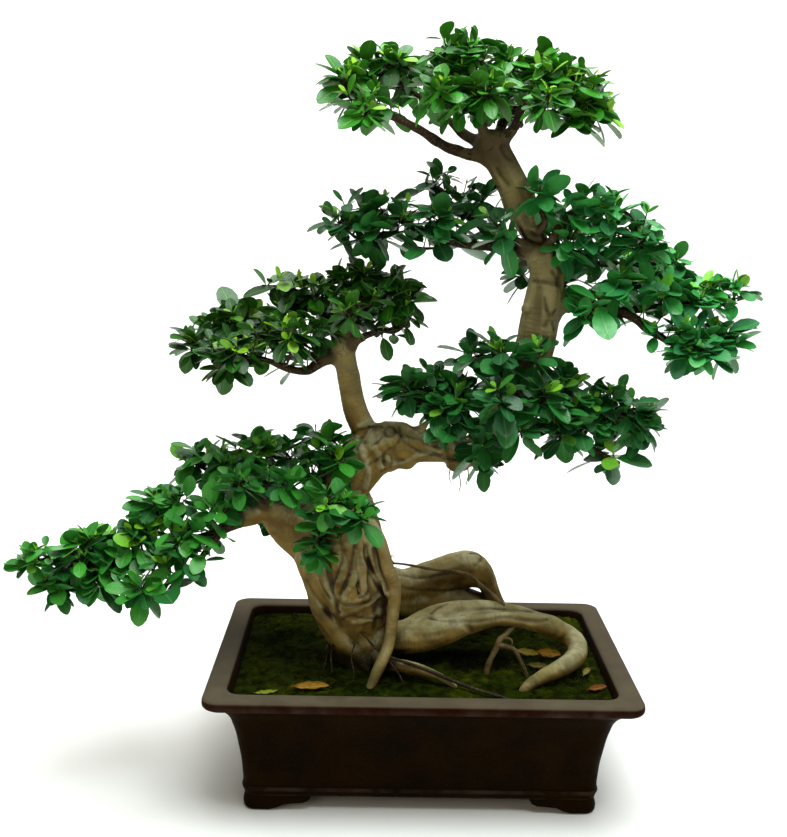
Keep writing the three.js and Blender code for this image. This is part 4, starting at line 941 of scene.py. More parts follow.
@dataclass(frozen=True)
class DryLeafFinish(Finish):
    """A fallen leaf: its own colour, darker spots and edges, and a pale midrib."""

    gloss: float = 0.12
    relief_depth: float = 0.4
    color: str = "8a5a2c"
    spot: str = "33240a"

    def build(self, effects: Effects) -> bpy.types.Material:
        """Makes the material, from the values "across" and "ahead"."""
        material, recipe, shader = self.start()
        place = recipe.place()
        side = recipe.sum("ABSOLUTE", recipe.number("across"))
        spots = effects.blotches(recipe, place, 190.0, 0.5, 0.68)
        rim = recipe.times(recipe.step(side, 0.55, 1.0), 0.7)
        share = recipe.sum("MAXIMUM", recipe.times(spots, 0.6), rim)
        color = recipe.mix(share, self.color, self.spot)
        rib = recipe.step(side, 0.12, 0.03)
        pale = recipe.mix(0.2, self.color, (0.8, 0.72, 0.4, 1.0))
        color = recipe.mix(recipe.times(rib, 0.7), color, pale)
        relief = effects.rough(recipe, place, 700.0, 200.0, 0.6)
        height = recipe.scaled(rib, -0.5, relief)
        self.dress(recipe, shader, color, recipe.step(relief, 0.3, 0.7, 0.55, 0.8), height)
        return material


@dataclass(frozen=True)
class MeshFinish(Finish):
    """Black moulded plastic of the drain screens, dusted with soil."""

    name: str = "drain_mesh"
    gloss: float = 0.4
    relief_depth: float = 0.15
    black: str = "141414"
    dust: str = "3a2c1c"

    def build(self, effects: Effects) -> bpy.types.Material:
        """Makes the material."""
        material, recipe, shader = self.start()
        place = recipe.place()
        dusty = effects.blotches(recipe, place, 120.0, 0.5, 0.7)
        color = recipe.mix(recipe.times(dusty, 0.6), self.black, self.dust)
        relief = effects.rough(recipe, place, 900.0, 300.0, 0.3)
        self.dress(recipe, shader, color, recipe.step(dusty, 0.0, 1.0, 0.45, 0.7), relief)
        return material


@dataclass(frozen=True)
class BackdropFinish(Finish):
    """Matt pale paper of the studio floor."""

    name: str = "backdrop_paper"
    gloss: float = 0.1
    relief_depth: float = 0.1
    pale: str = "f4f4f2"
    shade: str = "efefec"

    def build(self, effects: Effects) -> bpy.types.Material:
        """Makes the material."""
        material, recipe, shader = self.start()
        place = recipe.place()
        cloud = effects.blotches(recipe, place, 1.5, 0.3, 0.7)
        color = recipe.mix(cloud, self.pale, self.shade)
        grain = effects.rough(recipe, place, 300.0, 60.0, 0.3)
        self.dress(recipe, shader, color, recipe.step(grain, 0.3, 0.7, 0.85, 0.95), grain)
        return material


@dataclass(frozen=True)
class LeafKind:
    """The leaves of the branches whose names begin in one way: their slot, their length in
    millimetres and their finish. The first kind that fits a name counts."""

    branches: str
    slot: Slot
    length: float
    finish: LeafFinish


# Lit and shaded copies of one leaf: the crown's palette is lighter, partly for its young leaves and partly as
# painted light from above; the right second tier's is painted lighter with a painted cool sheen, and the left
# pad's painted darker, as painted light from the right.
CROWN_LEAF = LeafFinish(
    name="crown_leaf", young="98d01e", mature="2d8a12", deep="12560e", rib="84b83c", below="437f22"
)
LEFT_PAD_LEAF = LeafFinish(
    name="left_pad_leaf", young="86bd1c", mature="1c5808", deep="0a3806", rib="76a836", below="38701e",
    gloss=0.36,
)  # fmt: skip
COOL_LEAF = LeafFinish(
    name="cool_leaf", young="7cbc20", mature="36a82a", deep="176a24", rib="5da052", below="368238",
    gloss=0.42, cool="24704e", cool_share=0.38,
)  # fmt: skip
LOW_LEAF = LeafFinish(
    name="low_leaf", young="7cbc1c", mature="3d9a1a", deep="145a14", rib="5a9e4c", below="2e7230",
    gloss=0.4, cool="206c46", cool_share=0.2,
)  # fmt: skip
DEEP_LEAF = LeafFinish(
    name="deep_leaf", young="74b41c", mature="20701a", deep="0c4410", rib="5a9e4c", below="2e6e2a",
    cool_share=0.2,
)  # fmt: skip
LEAF_KINDS: tuple[LeafKind, ...] = (
    LeafKind("crown", Slot.LEAF_BRIGHT, 41.0, CROWN_LEAF),
    LeafKind("left_pad", Slot.LEAF_BRIGHT, 41.0, LEFT_PAD_LEAF),
    LeafKind("second_right", Slot.LEAF_DEEP, 45.0, COOL_LEAF),
    LeafKind("low", Slot.LEAF_DEEP, 42.0, LOW_LEAF),
    LeafKind("", Slot.LEAF_DEEP, 45.0, DEEP_LEAF),
)


def unit(vectors: Array) -> Array:
    """Vectors divided by their lengths."""
    length = np.linalg.norm(vectors, axis=-1, keepdims=True)
    return vectors / np.maximum(length, 1e-9)


def smoothstep(values: Array, low: float, high: float) -> Array:
    """0 below low, 1 above high, and the curve 3s^2 - 2s^3 of the share s between them."""
    share = np.clip((values - low) / (high - low), 0.0, 1.0)
    return share * share * (3.0 - 2.0 * share)


def lattice_value(points: Array, seed: int) -> Array:
    """A repeatable number from 0 to 1 for each whole-numbered point, by mixing its coordinates.

    Args:
        points: whole numbers, three to a point.
        seed: another pattern for each seed.

    Returns:
        One number for each point.
    """
    mixed = points[..., 0] * 374761393 + points[..., 1] * 668265263
    mixed = (mixed + points[..., 2] * 1440662683 + seed * 1274126177) & 0xFFFFFFFF
    mixed = ((mixed ^ (mixed >> 13)) * 1274126177) & 0xFFFFFFFF
    return ((mixed ^ (mixed >> 16)) & 0xFFFFFF) / 0xFFFFFF


def value_noise(points: Array, size: float, seed: int = 0) -> Array:
    """Smooth noise from -1 to 1: the lattice's values, blended by 3s^2 - 2s^3 along each axis.

    Args:
        points: places in millimetres.
        size: the lattice's spacing in millimetres.
        seed: another pattern for each seed.

    Returns:
        One number for each point.
    """
    scaled = points / size
    low = np.floor(scaled)
    part = scaled - low
    part = part * part * (3.0 - 2.0 * part)
    low = low.astype(np.int64)
    total = np.zeros(points.shape[:-1])
    for corner in np.ndindex(2, 2, 2):
        weight = np.prod(np.where(np.array(corner) == 1, part, 1.0 - part), axis=-1)
        total += weight * lattice_value(low + np.array(corner), seed)
    return 2.0 * total - 1.0


def fractal_noise(points: Array, size: float, octaves: int, seed: int = 0) -> Array:
    """A sum of noises, each half the size and half the strength of the one before."""
    total = sum(value_noise(points, size / 2**n, seed + n) / 2**n for n in range(octaves))
    return total / (2.0 - 0.5 ** (octaves - 1))


def smooth_route(route: Array, step: float) -> Array:
    """A smooth curve through a route's stations: the cubic that leaves each station along the
    chord between its two neighbours.

    Args:
        route: stations as rows, with the place in the first three columns.
        step: the spacing of the new stations in millimetres.

    Returns:
        The new stations, with the other columns smoothed in the same way.
    """
    padded = np.vstack([2 * route[0] - route[1], route, 2 * route[-1] - route[-2]])
    lengths = np.linalg.norm(np.diff(route[:, :3], axis=0), axis=1)
    counts = np.maximum(np.ceil(lengths / step).astype(int), 1)
    span = np.repeat(np.arange(len(counts)), counts)
    order = np.arange(len(span)) - np.repeat(np.cumsum(counts) - counts, counts)
    t = (order / counts[span])[:, None]
    before, start, end, after = (padded[span + n] for n in range(4))
    curve = 0.5 * (
        2 * start
        + (end - before) * t
        + (2 * before - 5 * start + 4 * end - after) * t**2
        + (3 * start - before - 3 * end + after) * t**3
    )
    return np.vstack([curve, route[-1]])


def path_frames(points: Array) -> tuple[Array, Array, Array]:
    """The direction of a path at each station, and two directions square to it.

    The second is square to the axis that the path is never nearly parallel to.

    Args:
        points: the stations' places, along the last axis but one.

    Returns:
        Three arrays of unit vectors: along, side and over.
    """
    along = unit(np.gradient(points, axis=-2))
    axes = np.vstack([np.eye(3), unit(np.array([[1.0, 1.0, 1.0], [1.0, -1.0, 1.0]]))])
    slack = [np.linalg.norm(np.cross(along, axis), axis=-1).min(axis=-1) for axis in axes]
    best = axes[np.argmax(np.array(slack), axis=0)]
    side = unit(np.cross(along, np.expand_dims(best, -2)))
    return along, side, np.cross(side, along)


@dataclass
class Shell:
    """A surface of one or more closed bodies.

    points are in millimetres, faces are arrays of point numbers with one finish number for each
    array, and values are named numbers, one for each point.
    """

    points: Array
    faces: list[Array]
    finishes: list[int]
    values: dict[str, Array] = field(default_factory=dict)


def join_shells(shells: list[Shell]) -> Shell:
    """All shells in one. A value that a shell lacks is 0 there."""
    starts = np.cumsum([0] + [len(shell.points) for shell in shells])
    names = {name for shell in shells for name in shell.values}
    faces = [part + start for shell, start in zip(shells, starts) for part in shell.faces]
    values = {
        name: np.concatenate([s.values.get(name, np.zeros(len(s.points))) for s in shells])
        for name in sorted(names)
    }
    finishes = [finish for shell in shells for finish in shell.finishes]
    return Shell(np.vstack([shell.points for shell in shells]), faces, finishes, values)


def grid_faces(rows: int, columns: int, around: bool) -> Array:
    """The quads of a grid of points: between each two rows and each two columns.

    Args:
        rows: number of rows.
        columns: number of points in a row.
        around: True where the last column joins the first.

    Returns:
        The corners of each quad.
    """
    row = np.arange(rows - 1)[:, None] * columns
    column = np.arange(columns if around else columns - 1)[None, :]
    after = (column + 1) % columns
    quads = [row + column, row + after, row + columns + after, row + columns + column]
    return np.stack(quads, axis=-1).reshape(-1, 4)


def tube_faces(count: int, stations: int, sides: int) -> list[Array]:
    """The quads and the two end faces of closed tubes whose points follow one another.

    Args:
        count: number of tubes.
        stations: number of rings in a tube.
        sides: number of points in a ring.

    Returns:
        The quads, the first ends and the last ends.
    """
    quads = grid_faces(stations, sides, True)[:, ::-1]
    first = np.arange(sides)[None, :]
    last = (stations - 1) * sides + first[:, ::-1]
    starts = np.arange(count)[:, None, None] * stations * sides
    return [(part[None] + starts).reshape(-1, part.shape[1]) for part in (quads, first, last)]


def rim_of(number: Array) -> Array:
    """The point numbers round a grid's border."""
    return np.concatenate([number[0, :-1], number[:-1, -1], number[-1, :0:-1], number[:0:-1, 0]])


def tubes(paths: Array, radii: Array, sides: int, finish: int = 0) -> Shell:
    """Closed round tubes along paths: each point is the station plus its radius times the cosine
    of its turn to the side and the sine of it over the path.

    Args:
        paths: the stations of each tube, as tubes by stations by 3.
        radii: the radius at each station, as tubes by stations.
        sides: number of points round a tube.
        finish: the finish's number.

    Returns:
        The tubes.
    """
    count, stations = radii.shape
    _, side, over = path_frames(paths)
    angle = 2 * math.pi * (np.arange(sides) / sides)
    ring = side[:, :, None] * np.cos(angle)[:, None] + over[:, :, None] * np.sin(angle)[:, None]
    points = paths[:, :, None] + ring * radii[:, :, None, None]
    return Shell(points.reshape(-1, 3), tube_faces(count, stations, sides), [finish] * 3)


def tray_middle() -> Array:
    """The middle of the tray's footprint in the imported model's frame, in metres."""
    low, high = (np.array(corner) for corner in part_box("pot"))
    return np.array([(low[0] + high[0]) / 2, (low[1] + high[1]) / 2, low[2]])


def make_piece(
    name: str,
    shell: Shell,
    materials: list[bpy.types.Material],
    nodes: tuple[str, ...] = (),
    sharp_angle: float | None = None,
) -> bpy.types.Object:
    """Puts a shell into the scene as one object that rides on the tree's body.

    Args:
        name: the object's name.
        shell: the surface.
        materials: a material for each finish number.
        nodes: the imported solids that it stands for.
        sharp_angle: edges that turn more than this, in degrees, stay sharp.

    Returns:
        The new object.
    """
    mesh = bpy.data.meshes.new(name)
    faces = [face for part in shell.faces for face in part.tolist()]
    mesh.from_pydata((shell.points * MM + tray_middle()).tolist(), [], faces)
    for material in materials:
        mesh.materials.append(material)
    sizes = [len(part) for part in shell.faces]
    mesh.polygons.foreach_set("material_index", np.repeat(shell.finishes, sizes).astype(np.int32))
    mesh.polygons.foreach_set("use_smooth", np.ones(len(faces), dtype=bool))
    for key, numbers in shell.values.items():
        layer = mesh.attributes.new(key, "FLOAT", "POINT")
        layer.data.foreach_set("value", numbers.astype(np.float32))
    mesh.validate()
    mesh.update()
    if sharp_angle is not None:
        mesh.set_sharp_from_angle(angle=math.radians(sharp_angle))
    piece = bpy.data.objects.new(name, mesh)
    bpy.context.scene.collection.objects.link(piece)
    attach(piece, "root")
    if nodes:
        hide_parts(*nodes)
    triangles = sum(len(polygon.vertices) - 2 for polygon in mesh.polygons)
    LOG.info("%s: %d points, %d triangles", name, len(mesh.vertices), triangles)
    return piece


@dataclass
class WoodField:
    """The wood as a field of distances on a grid, which is negative inside the wood.

    waves are the flutes' counts, their strengths and their twists per millimetre.
    """

    low: Array
    high: Array
    voxel: float
    far: float = 30.0
    slack: float = 7.0
    flute_girth: float = 60.0
    waves: Route = ((3, 0.4, 0.006), (5, 0.55, -0.004), (8, 0.5, 0.009), (13, 0.42, -0.012), (21, 0.28, 0.01))
    relax_rounds: int = 3
    relax_share: float = 0.6
    relax_move: float = 1.5

    def __post_init__(self) -> None:
        """Sets up the empty field."""
        shape = np.ceil((self.high - self.low) / self.voxel).astype(int) + 1
        self.values = np.full(shape, self.far, dtype=np.float32)

    def block(self, low: Array, high: Array) -> tuple[tuple[slice, ...], Array]:
        """The part of the grid between two corners.

        Args:
            low: the lowest corner in millimetres.
            high: the highest corner in millimetres.

        Returns:
            The slices of the grid and the places of its points.
        """
        first = np.maximum(np.floor((low - self.low) / self.voxel).astype(int), 0)
        last = np.ceil((high - self.low) / self.voxel).astype(int) + 1
        last = np.minimum(last, self.values.shape)
        axes = [self.low[n] + self.voxel * np.arange(first[n], last[n]) for n in range(3)]
        places = np.stack(np.meshgrid(*axes, indexing="ij"), axis=-1).astype(np.float32)
        return tuple(slice(a, b) for a, b in zip(first, last)), places

    def gap_to(
        self, route: Array, reach: float, flutes: float = 0.0, seed: int = 0
    ) -> tuple[tuple[slice, ...], Array]:
        """The distance to the nearest stretch of a stem's path, less the radius there.

        The radius is raised and lowered round the path by the sum of |cos| waves, whose zeros are
        creases, so the stem is fluted.

        Args:
            route: stations of x, y, z and radius.
            reach: how far out of the stem the distance is wanted.
            flutes: depth of the flutes where the radius is 60 mm.
            seed: another pattern of flutes for each seed.

        Returns:
            The slices of the grid round the stem and the distance there.
        """
        path = smooth_route(route, self.slack)
        margin = path[:, 3:].max() + reach + self.slack + 1.0
        low, high = path[:, :3].min(axis=0) - margin, path[:, :3].max(axis=0) + margin
        where, _ = self.block(low, high)
        first = np.array([part.start for part in where])
        part = np.full([part.stop - part.start for part in where], self.far, dtype=np.float32)
        _, side, over = path_frames(path[:, :3])
        travelled = 0.0
        for n in range(len(path) - 1):
            start, end = path[n], path[n + 1]
            around = max(start[3], end[3]) + reach + self.slack
            corners = np.minimum(start[:3], end[:3]) - around, np.maximum(start[:3], end[:3]) + around
            spot, places = self.block(*corners)
            way = end[:3] - start[:3]
            length = float(np.linalg.norm(way))
            offset = places - start[:3]
            share = np.clip(offset @ way / length**2, 0.0, 1.0)
            offset -= share[..., None] * way
            radius = start[3] + (end[3] - start[3]) * share
            if flutes > 0:
                angle = np.arctan2(offset @ over[n], offset @ side[n])
                distance = travelled + share * length
                radius = radius + self.flute(angle, distance, seed) * flutes * (radius / self.flute_girth)
            gap = np.linalg.norm(offset, axis=-1) - radius
            inner = tuple(slice(s.start - f, s.stop - f) for s, f in zip(spot, first))
            part[inner] = np.minimum(part[inner], gap)
            travelled += length
        return where, part

    def add_stem(self, route: Array, blend: float, flutes: float = 0.0, seed: int = 0) -> None:
        """Joins a stem to the wood by a smooth minimum, whose width is the blend."""
        where, part = self.gap_to(route, blend, flutes, seed)
        whole = self.values[where]
        near = np.maximum(blend - np.abs(whole - part), 0.0) / max(blend, 1e-6)
        self.values[where] = np.minimum(whole, part) - near * near * blend * 0.25

    def cut(self, route: Array, blend: float) -> None:
        """Takes a stem out of the wood by a smooth maximum with its outside."""
        where, part = self.gap_to(route, blend)
        whole = self.values[where]
        near = np.maximum(blend - np.abs(whole + part), 0.0) / blend
        self.values[where] = np.maximum(whole, -part) + near * near * blend * 0.25

    def crease(self, route: Array, depth: float) -> None:
        """Presses a crease into the surface: the field rises by the depth times the square of the
        way into the route's radius."""
        where, part = self.gap_to(route, 0.0)
        self.values[where] += depth * np.minimum(part, 0.0) ** 2

    def flute(self, angle: Array, distance: Array, seed: int) -> Array:
        """The height of the flutes from about -1 to 0.6: a sum of |cos| waves round the stem that
        wind slowly along it.

        Args:
            angle: the turn round the stem in radians.
            distance: the way along the stem in millimetres.
            seed: another pattern for each seed.

        Returns:
            The height at each point.
        """
        total = np.zeros_like(angle)
        for count, strength, twist in self.waves:
            phase = 2.4 * seed + 1.7 * count + 0.5 * np.sin(distance * 0.013 * count**0.5 + seed)
            total += strength * (np.abs(np.cos(0.5 * count * angle + phase + twist * distance)) - 0.62)
        return np.maximum(total, -0.35 + 0.3 * (total + 0.35))

    def roughen(self, amount: float, size: float, octaves: int, seed: int) -> None:
        """Moves the surface in and out by fractal noise, only where the field is near it."""
        near = np.abs(self.values) < 4.0 * amount + self.voxel
        places = self.low + self.voxel * np.argwhere(near)
        self.values[near] -= amount * fractal_noise(places, size, octaves, seed)

    def sample(self, points: Array) -> Array:
        """The field between the grid's points, blended linearly along each axis."""
        scaled = (points - self.low) / self.voxel
        scaled = np.clip(scaled, 0.0, np.array(self.values.shape) - 1.001)
        low = scaled.astype(int)
        part = scaled - low
        total = np.zeros(len(points))
        for corner in np.ndindex(2, 2, 2):
            weight = np.prod(np.where(np.array(corner) == 1, part, 1.0 - part), axis=-1)
            total += weight * self.values[tuple((low + np.array(corner)).T)]
        return total

    def slope(self, points: Array, step: float) -> Array:
        """The direction in which the field rises fastest, from differences over a step."""
        rise = [self.sample(points + step * axis) - self.sample(points - step * axis) for axis in AXES]
        return unit(np.stack(rise, axis=-1))

    def folded(self, points: Array, out: Array, reach: float) -> Array:
        """How much less than over a flat surface the field rises on the way out by a reach: up to
        1 in folds. A reach below 0 goes in, and finds ridges."""
        return 1.0 - self.sample(points + reach * out) / reach

    def surface(self) -> tuple[Array, Array]:
        """The surface where the field is 0, with one point in each cell that it crosses.

        The point is the mean of the places where the cell's edges cross 0, and each edge of the
        grid that crosses 0 gives the quad of the four cells round it.

        Returns:
            The points and the quads.
        """
        inside = self.values < 0
        cells = np.zeros(np.array(inside.shape) - 1, dtype=np.int8)
        corners = [np.array(corner) for corner in np.ndindex(2, 2, 2)]
        size = np.array(cells.shape)
        for corner in corners:
            cells += inside[tuple(slice(c, c + s) for c, s in zip(corner, size))]
        active = (cells > 0) & (cells < 8)
        places = np.argwhere(active)
        number = np.full(active.shape, -1, dtype=np.int64)
        number[active] = np.arange(len(places))
        total = np.zeros((len(places), 3))
        hits = np.zeros((len(places), 1))
        for axis in range(3):
            for start in (corner for corner in corners if corner[axis] == 0):
                a = self.values[tuple((places + start).T)]
                b = self.values[tuple((places + start + AXES[axis]).T)]
                crosses = (a < 0) != (b < 0)
                share = np.where(crosses, a / np.where(crosses, a - b, 1.0), 0.0)
                place = start + share[:, None] * AXES[axis]
                total += np.where(crosses[:, None], place, 0.0)
                hits += crosses[:, None]
        points = self.low + self.voxel * (places + total / hits)
        quads = []
        for axis in range(3):
            step, one, two = (AXES[(axis + n) % 3] for n in range(3))
            low_side = inside[tuple(slice(None, -1) if s else slice(None) for s in step)]
            high_side = inside[tuple(slice(1, None) if s else slice(None) for s in step)]
            edges = np.argwhere(low_side != high_side)
            edges = edges[np.all((edges >= one + two) & (edges < size), axis=1)]
            ring = [number[tuple((edges - move).T)] for move in (0 * one, one, one + two, two)]
            quad = np.stack(ring, axis=-1)
            outwards = low_side[tuple(edges.T)]
            quads.append(np.where(outwards[:, None], quad, quad[:, ::-1]))
        faces = np.vstack(quads)
        return self.relax(points, faces), faces

    def relax(self, points: Array, faces: Array) -> Array:
        """Evens out the points along the surface and sets them back on it.

        Args:
            points: the surface's points.
            faces: its quads.

        Returns:
            The moved points.
        """
        pairs = np.vstack([faces[:, [n, (n + 1) % 4]] for n in range(4)])
        count = np.bincount(pairs.ravel(), minlength=len(points))[:, None]
        for _ in range(self.relax_rounds):
            total = np.zeros_like(points)
            for axis in range(3):
                total[:, axis] = np.bincount(pairs[:, 0], points[pairs[:, 1], axis], len(points))
                total[:, axis] += np.bincount(pairs[:, 1], points[pairs[:, 0], axis], len(points))
            points = (1 - self.relax_share) * points + self.relax_share * total / np.maximum(count, 1)
            gap = np.clip(self.sample(points), -self.relax_move, self.relax_move)
            points = points - self.slope(points, self.voxel) * gap[:, None]
        return points


@dataclass
class Wood:
    """The trunk with its leaders and exposed roots, grown together as one piece.

    Strands and welts lie on it, limbs leave it by flared collars, and hollows are cut into it. Its
    bumps are given by their amount, size, octaves and seed, and its near-black painted shadow with
    a muddy stain under the trunk by the middle, the reach and the height between whose values it
    fades.
    """

    voxel: float = 2.7
    margin: float = 38.3
    limb_step: float = 5.0
    knot_blend: float = 8.0
    hollow_blend: float = 0.8
    fold_reach: tuple[float, float] = (5.0, 16.0)
    ridge_reach: float = 6.0
    strand_blend: float = 2.6
    strand_sink: float = 0.25
    crease_depth: float = 0.1
    stem_girth: float = 20.0
    most_lift: float = 12.0
    view: Viewpoint = Viewpoint()
    sight_range: tuple[float, float] = (1300.0, 1950.0)
    collar_length: float = 42.0
    collar_flare: float = 0.4
    collar_blend: float = 9.0
    collar_gap: float = 10.0
    bumps: Route = ((1.5, 40.0, 3, 11), (0.6, 12.0, 2, 21))
    hollows: Route = ((-30, -20, 474, 8.0), (-80, -68, 224, 14.0))
    mud: Route = ((-100.0, -30.0), (60.0, 38.0), (214.0, 190.0))
    shade_and_mud_spread: float = 1.6
    knots: Route = (
        (-48, -20, 512, 9.5), (42, -4, 470, 9.0), (54, 0, 470, 9.0), (-52, 8, 474, 17.0), (-28, 8, 474, 14.0),
        (139, -15, 830, 9.0), (-79, 2, 508, 9.0), (136, -14, 700, 8.0), (150, -20, 668, 7.0),
    )  # fmt: skip
    welts: tuple[Route, ...] = (
        ((-16, 6, 500, 9), (-8, 2, 520, 7), (0, 0, 531, 5), (6, 0, 536, 3.5)),
        ((-88, -6, 520, 7), (-101, -10, 530, 5), (-107, -12, 540, 4)),
        ((150, -8, 772, 8), (141, -18, 781, 6), (134, -24, 787, 4)),
        ((128, -10, 858, 8), (139, -16, 868, 5), (144, -18, 875, 3.5)),
        ((10, 86, 252, 22), (36, 96, 254, 17), (58, 100, 253, 11)),
        ((70, 100, 262, 16), (86, 101, 262, 14)),
        ((108, 104, 248, 9), (120, 106, 228, 10), (130, 108, 210, 9)),
        ((187, -4, 701, 8), (181, -4, 691, 5)),
        ((-219, -28, 386, 12), (-202, -27, 370, 17), (-184, -26, 352, 17), (-172, -24, 334, 13)),
        ((16, -22, 230, 9), (60, -24, 240, 10), (96, -22, 247, 8), (130, -22, 246, 8), (160, -20, 240, 8)),
        ((-80, -40, 382, 13), (-75, -45, 352, 13), (-67, -45, 320, 13), (-62, -42, 282, 13),
         (-60, -38, 249, 11)),
    )  # fmt: skip

    def lifted(self, wood: WoodField, route: Array, sink: float) -> Array:
        """A route moved along the field's slope until its stations lie under the surface by the
        sink's share of their radius."""
        route = smooth_route(route, 9.0)
        for _ in range(3):
            gap = wood.sample(route[:, :3]) + sink * route[:, 3]
            gap = np.clip(gap, -self.most_lift, self.most_lift)
            route[:, :3] -= wood.slope(route[:, :3], self.voxel) * gap[:, None]
        return route

    @staticmethod
    def stations(route: Route) -> Array:
        """A route's stations as rows."""
        return np.array(route, dtype=float)

    @staticmethod
    def ball(spot: tuple[float, ...]) -> Array:
        """The short route whose stem is a ball."""
        return np.array([spot, spot], dtype=float) + [[0, 0, 0, 0], [1, 0, 0, 0]]

    def collars(self) -> list[Array]:
        """The first stretch of each limb that starts at a stem, swollen towards it: the radius
        grows by the flare times the square of the share that is left of the stretch."""
        routes = []
        stations = np.vstack([smooth_route(self.stations(stem.route), self.limb_step) for stem in STEMS])
        for branch in BRANCHES:
            for limb in branch.limbs:
                path = smooth_route(self.stations(limb), self.limb_step)
                gap = np.linalg.norm(stations[:, :3] - path[0, :3], axis=1) - stations[:, 3]
                if gap.min() > self.collar_gap:
                    continue
                steps = np.linalg.norm(np.diff(path[:, :3], axis=0), axis=1)
                way = np.concatenate([[0.0], np.cumsum(steps)])
                path = path[way < self.collar_length]
                left = 1.0 - way[: len(path)] / self.collar_length
                path[:, 3] *= 0.96 + self.collar_flare * left**2
                if path[0, 3] > 1.6 * self.voxel:
                    routes.append(path)
        return routes

    def drawn(self, wood: WoodField) -> list[Array]:
        """The creases of the close-ups, each point carried along its line of sight to the first
        place inside the wood, or to the place nearest to it."""
        eye = np.array(self.view.place) / MM
        way = np.arange(*self.sight_range, 0.5 * self.voxel)[:, None]
        routes = []
        for close_up in CLOSE_UPS:
            corner = np.array([close_up.left, close_up.top])
            for width, points in close_up.creases:
                points = np.array(points)
                sight = self.view.sight(corner + points[:, :2] / close_up.zoom)
                places = eye + way * sight[:, None]
                gap = wood.sample(places.reshape(-1, 3)).reshape(places.shape[:2])
                first = np.where((gap < 0).any(axis=1), (gap < 0).argmax(axis=1), gap.argmin(axis=1))
                places = places[np.arange(len(points)), first]
                routes.append(np.column_stack([places, width * points[:, 2]]))
        return routes

    def field(self) -> tuple[WoodField, list[Array]]:
        """The field of all stems, strands, collars, welts, knots and hollows, and the routes of
        the creases pressed into it."""
        routes = [self.stations(stem.route) for stem in STEMS]
        everything = np.vstack(routes)
        low = (everything[:, :3] - everything[:, 3:]).min(axis=0) - self.margin
        high = (everything[:, :3] + everything[:, 3:]).max(axis=0) + self.margin
        wood = WoodField(low, high, self.voxel)
        for seed, (stem, route) in enumerate(zip(STEMS, routes)):
            wood.add_stem(route, stem.blend, stem.flutes, seed)
        for route in self.welts:
            wood.add_stem(self.stations(route), self.collar_blend)
        for knot in self.knots:
            wood.add_stem(self.ball(knot), self.knot_blend)
        for route in self.collars():
            wood.add_stem(route, self.collar_blend)
        strands = [self.lifted(wood, self.stations(route), self.strand_sink) for route in STRANDS]
        for route in strands:
            wood.add_stem(route, self.strand_blend)
        for hollow in self.hollows:
            wood.cut(self.ball(hollow), self.hollow_blend * hollow[3])
        creases = [self.lifted(wood, route, 0.0) for route in self.drawn(wood)]
        for route in creases:
            wood.crease(route, self.crease_depth)
        for bump in self.bumps:
            wood.roughen(*bump)
        return wood, creases

    def build(self, material: bpy.types.Material) -> None:
        """Builds the wood with the values that its bark reads.

        "along" is the way along the nearest stem, "crease" how deep in a fold a point lies, for
        painted shade with grimy stains, "ridge" how sharply the surface bulges, for a painted
        highlight, "girth" the nearest stem's radius, "up" how far the surface faces up, for painted
        light from above, "mud" how deep a point lies in the near-black painted shadow with a muddy
        stain under the trunk, and "line" how near it is to a crease, for painted shade along it.

        Args:
            material: the bark.
        """
        wood, creases = self.field()
        points, faces = wood.surface()
        out = wood.slope(points, self.voxel)
        close, far = (wood.folded(points, out, reach) for reach in self.fold_reach)
        near, wide = np.clip(1.7 * close - 0.06, 0.0, 1.0), np.clip(far, 0.0, 1.0)
        bulge = np.clip(wood.folded(points, out, -self.ridge_reach), 0.0, 1.0)
        along, girth = self.nearest(points)
        girth = self.evened(girth, faces)
        # Painted shadow with a muddy stain: near-black by the soil under the trunk, fading with the distance
        # from its foot and with height.
        middle, reach, height = self.mud
        away = np.linalg.norm(points[:, :2] - np.array(middle), axis=1)
        away = away - self.shade_and_mud_spread * np.maximum(height[1] - points[:, 2], 0.0)
        values = {
            "crease": np.maximum(near, 0.8 * wide),
            "ridge": smoothstep(bulge, 0.03, 0.3),
            "along": along,
            "girth": girth,
            "up": out[:, 2],
            "mud": smoothstep(away, *reach) * smoothstep(points[:, 2], *height),
            "line": self.marked(points, creases),
        }
        shell = Shell(points, [faces], [0], values)
        make_piece("trunk_and_roots", shell, [material], ("wood",))

    @staticmethod
    def marked(points: Array, creases: list[Array]) -> Array:
        """How near each point is to a crease: 1 along its line and 0 from a little more than half
        its radius on."""
        path = np.vstack([smooth_route(route, 2.0) for route in creases])
        mark = np.zeros(len(points))
        for start in range(0, len(path), 60):
            part = path[start : start + 60]
            reach = part[:, 3].max()
            low, high = part[:, :3].min(axis=0) - reach, part[:, :3].max(axis=0) + reach
            close = np.flatnonzero(np.all((points > low) & (points < high), axis=1))
            gap = np.linalg.norm(points[close, None] - part[None, :, :3], axis=-1)
            share = np.clip(1.6 - 1.6 * gap / (0.6 * part[:, 3] + 0.6), 0.0, 1.0).max(axis=1)
            mark[close] = np.maximum(mark[close], share)
        return mark

    @staticmethod
    def evened(value: Array, faces: Array, rounds: int = 8) -> Array:
        """A value of the points after rounds in which each takes the mean of its quads' means."""
        share = np.maximum(np.bincount(faces.ravel(), minlength=len(value)), 1)
        for _ in range(rounds):
            mean = np.repeat(value[faces].mean(axis=1), 4)
            value = np.bincount(faces.ravel(), mean, len(value)) / share
        return value

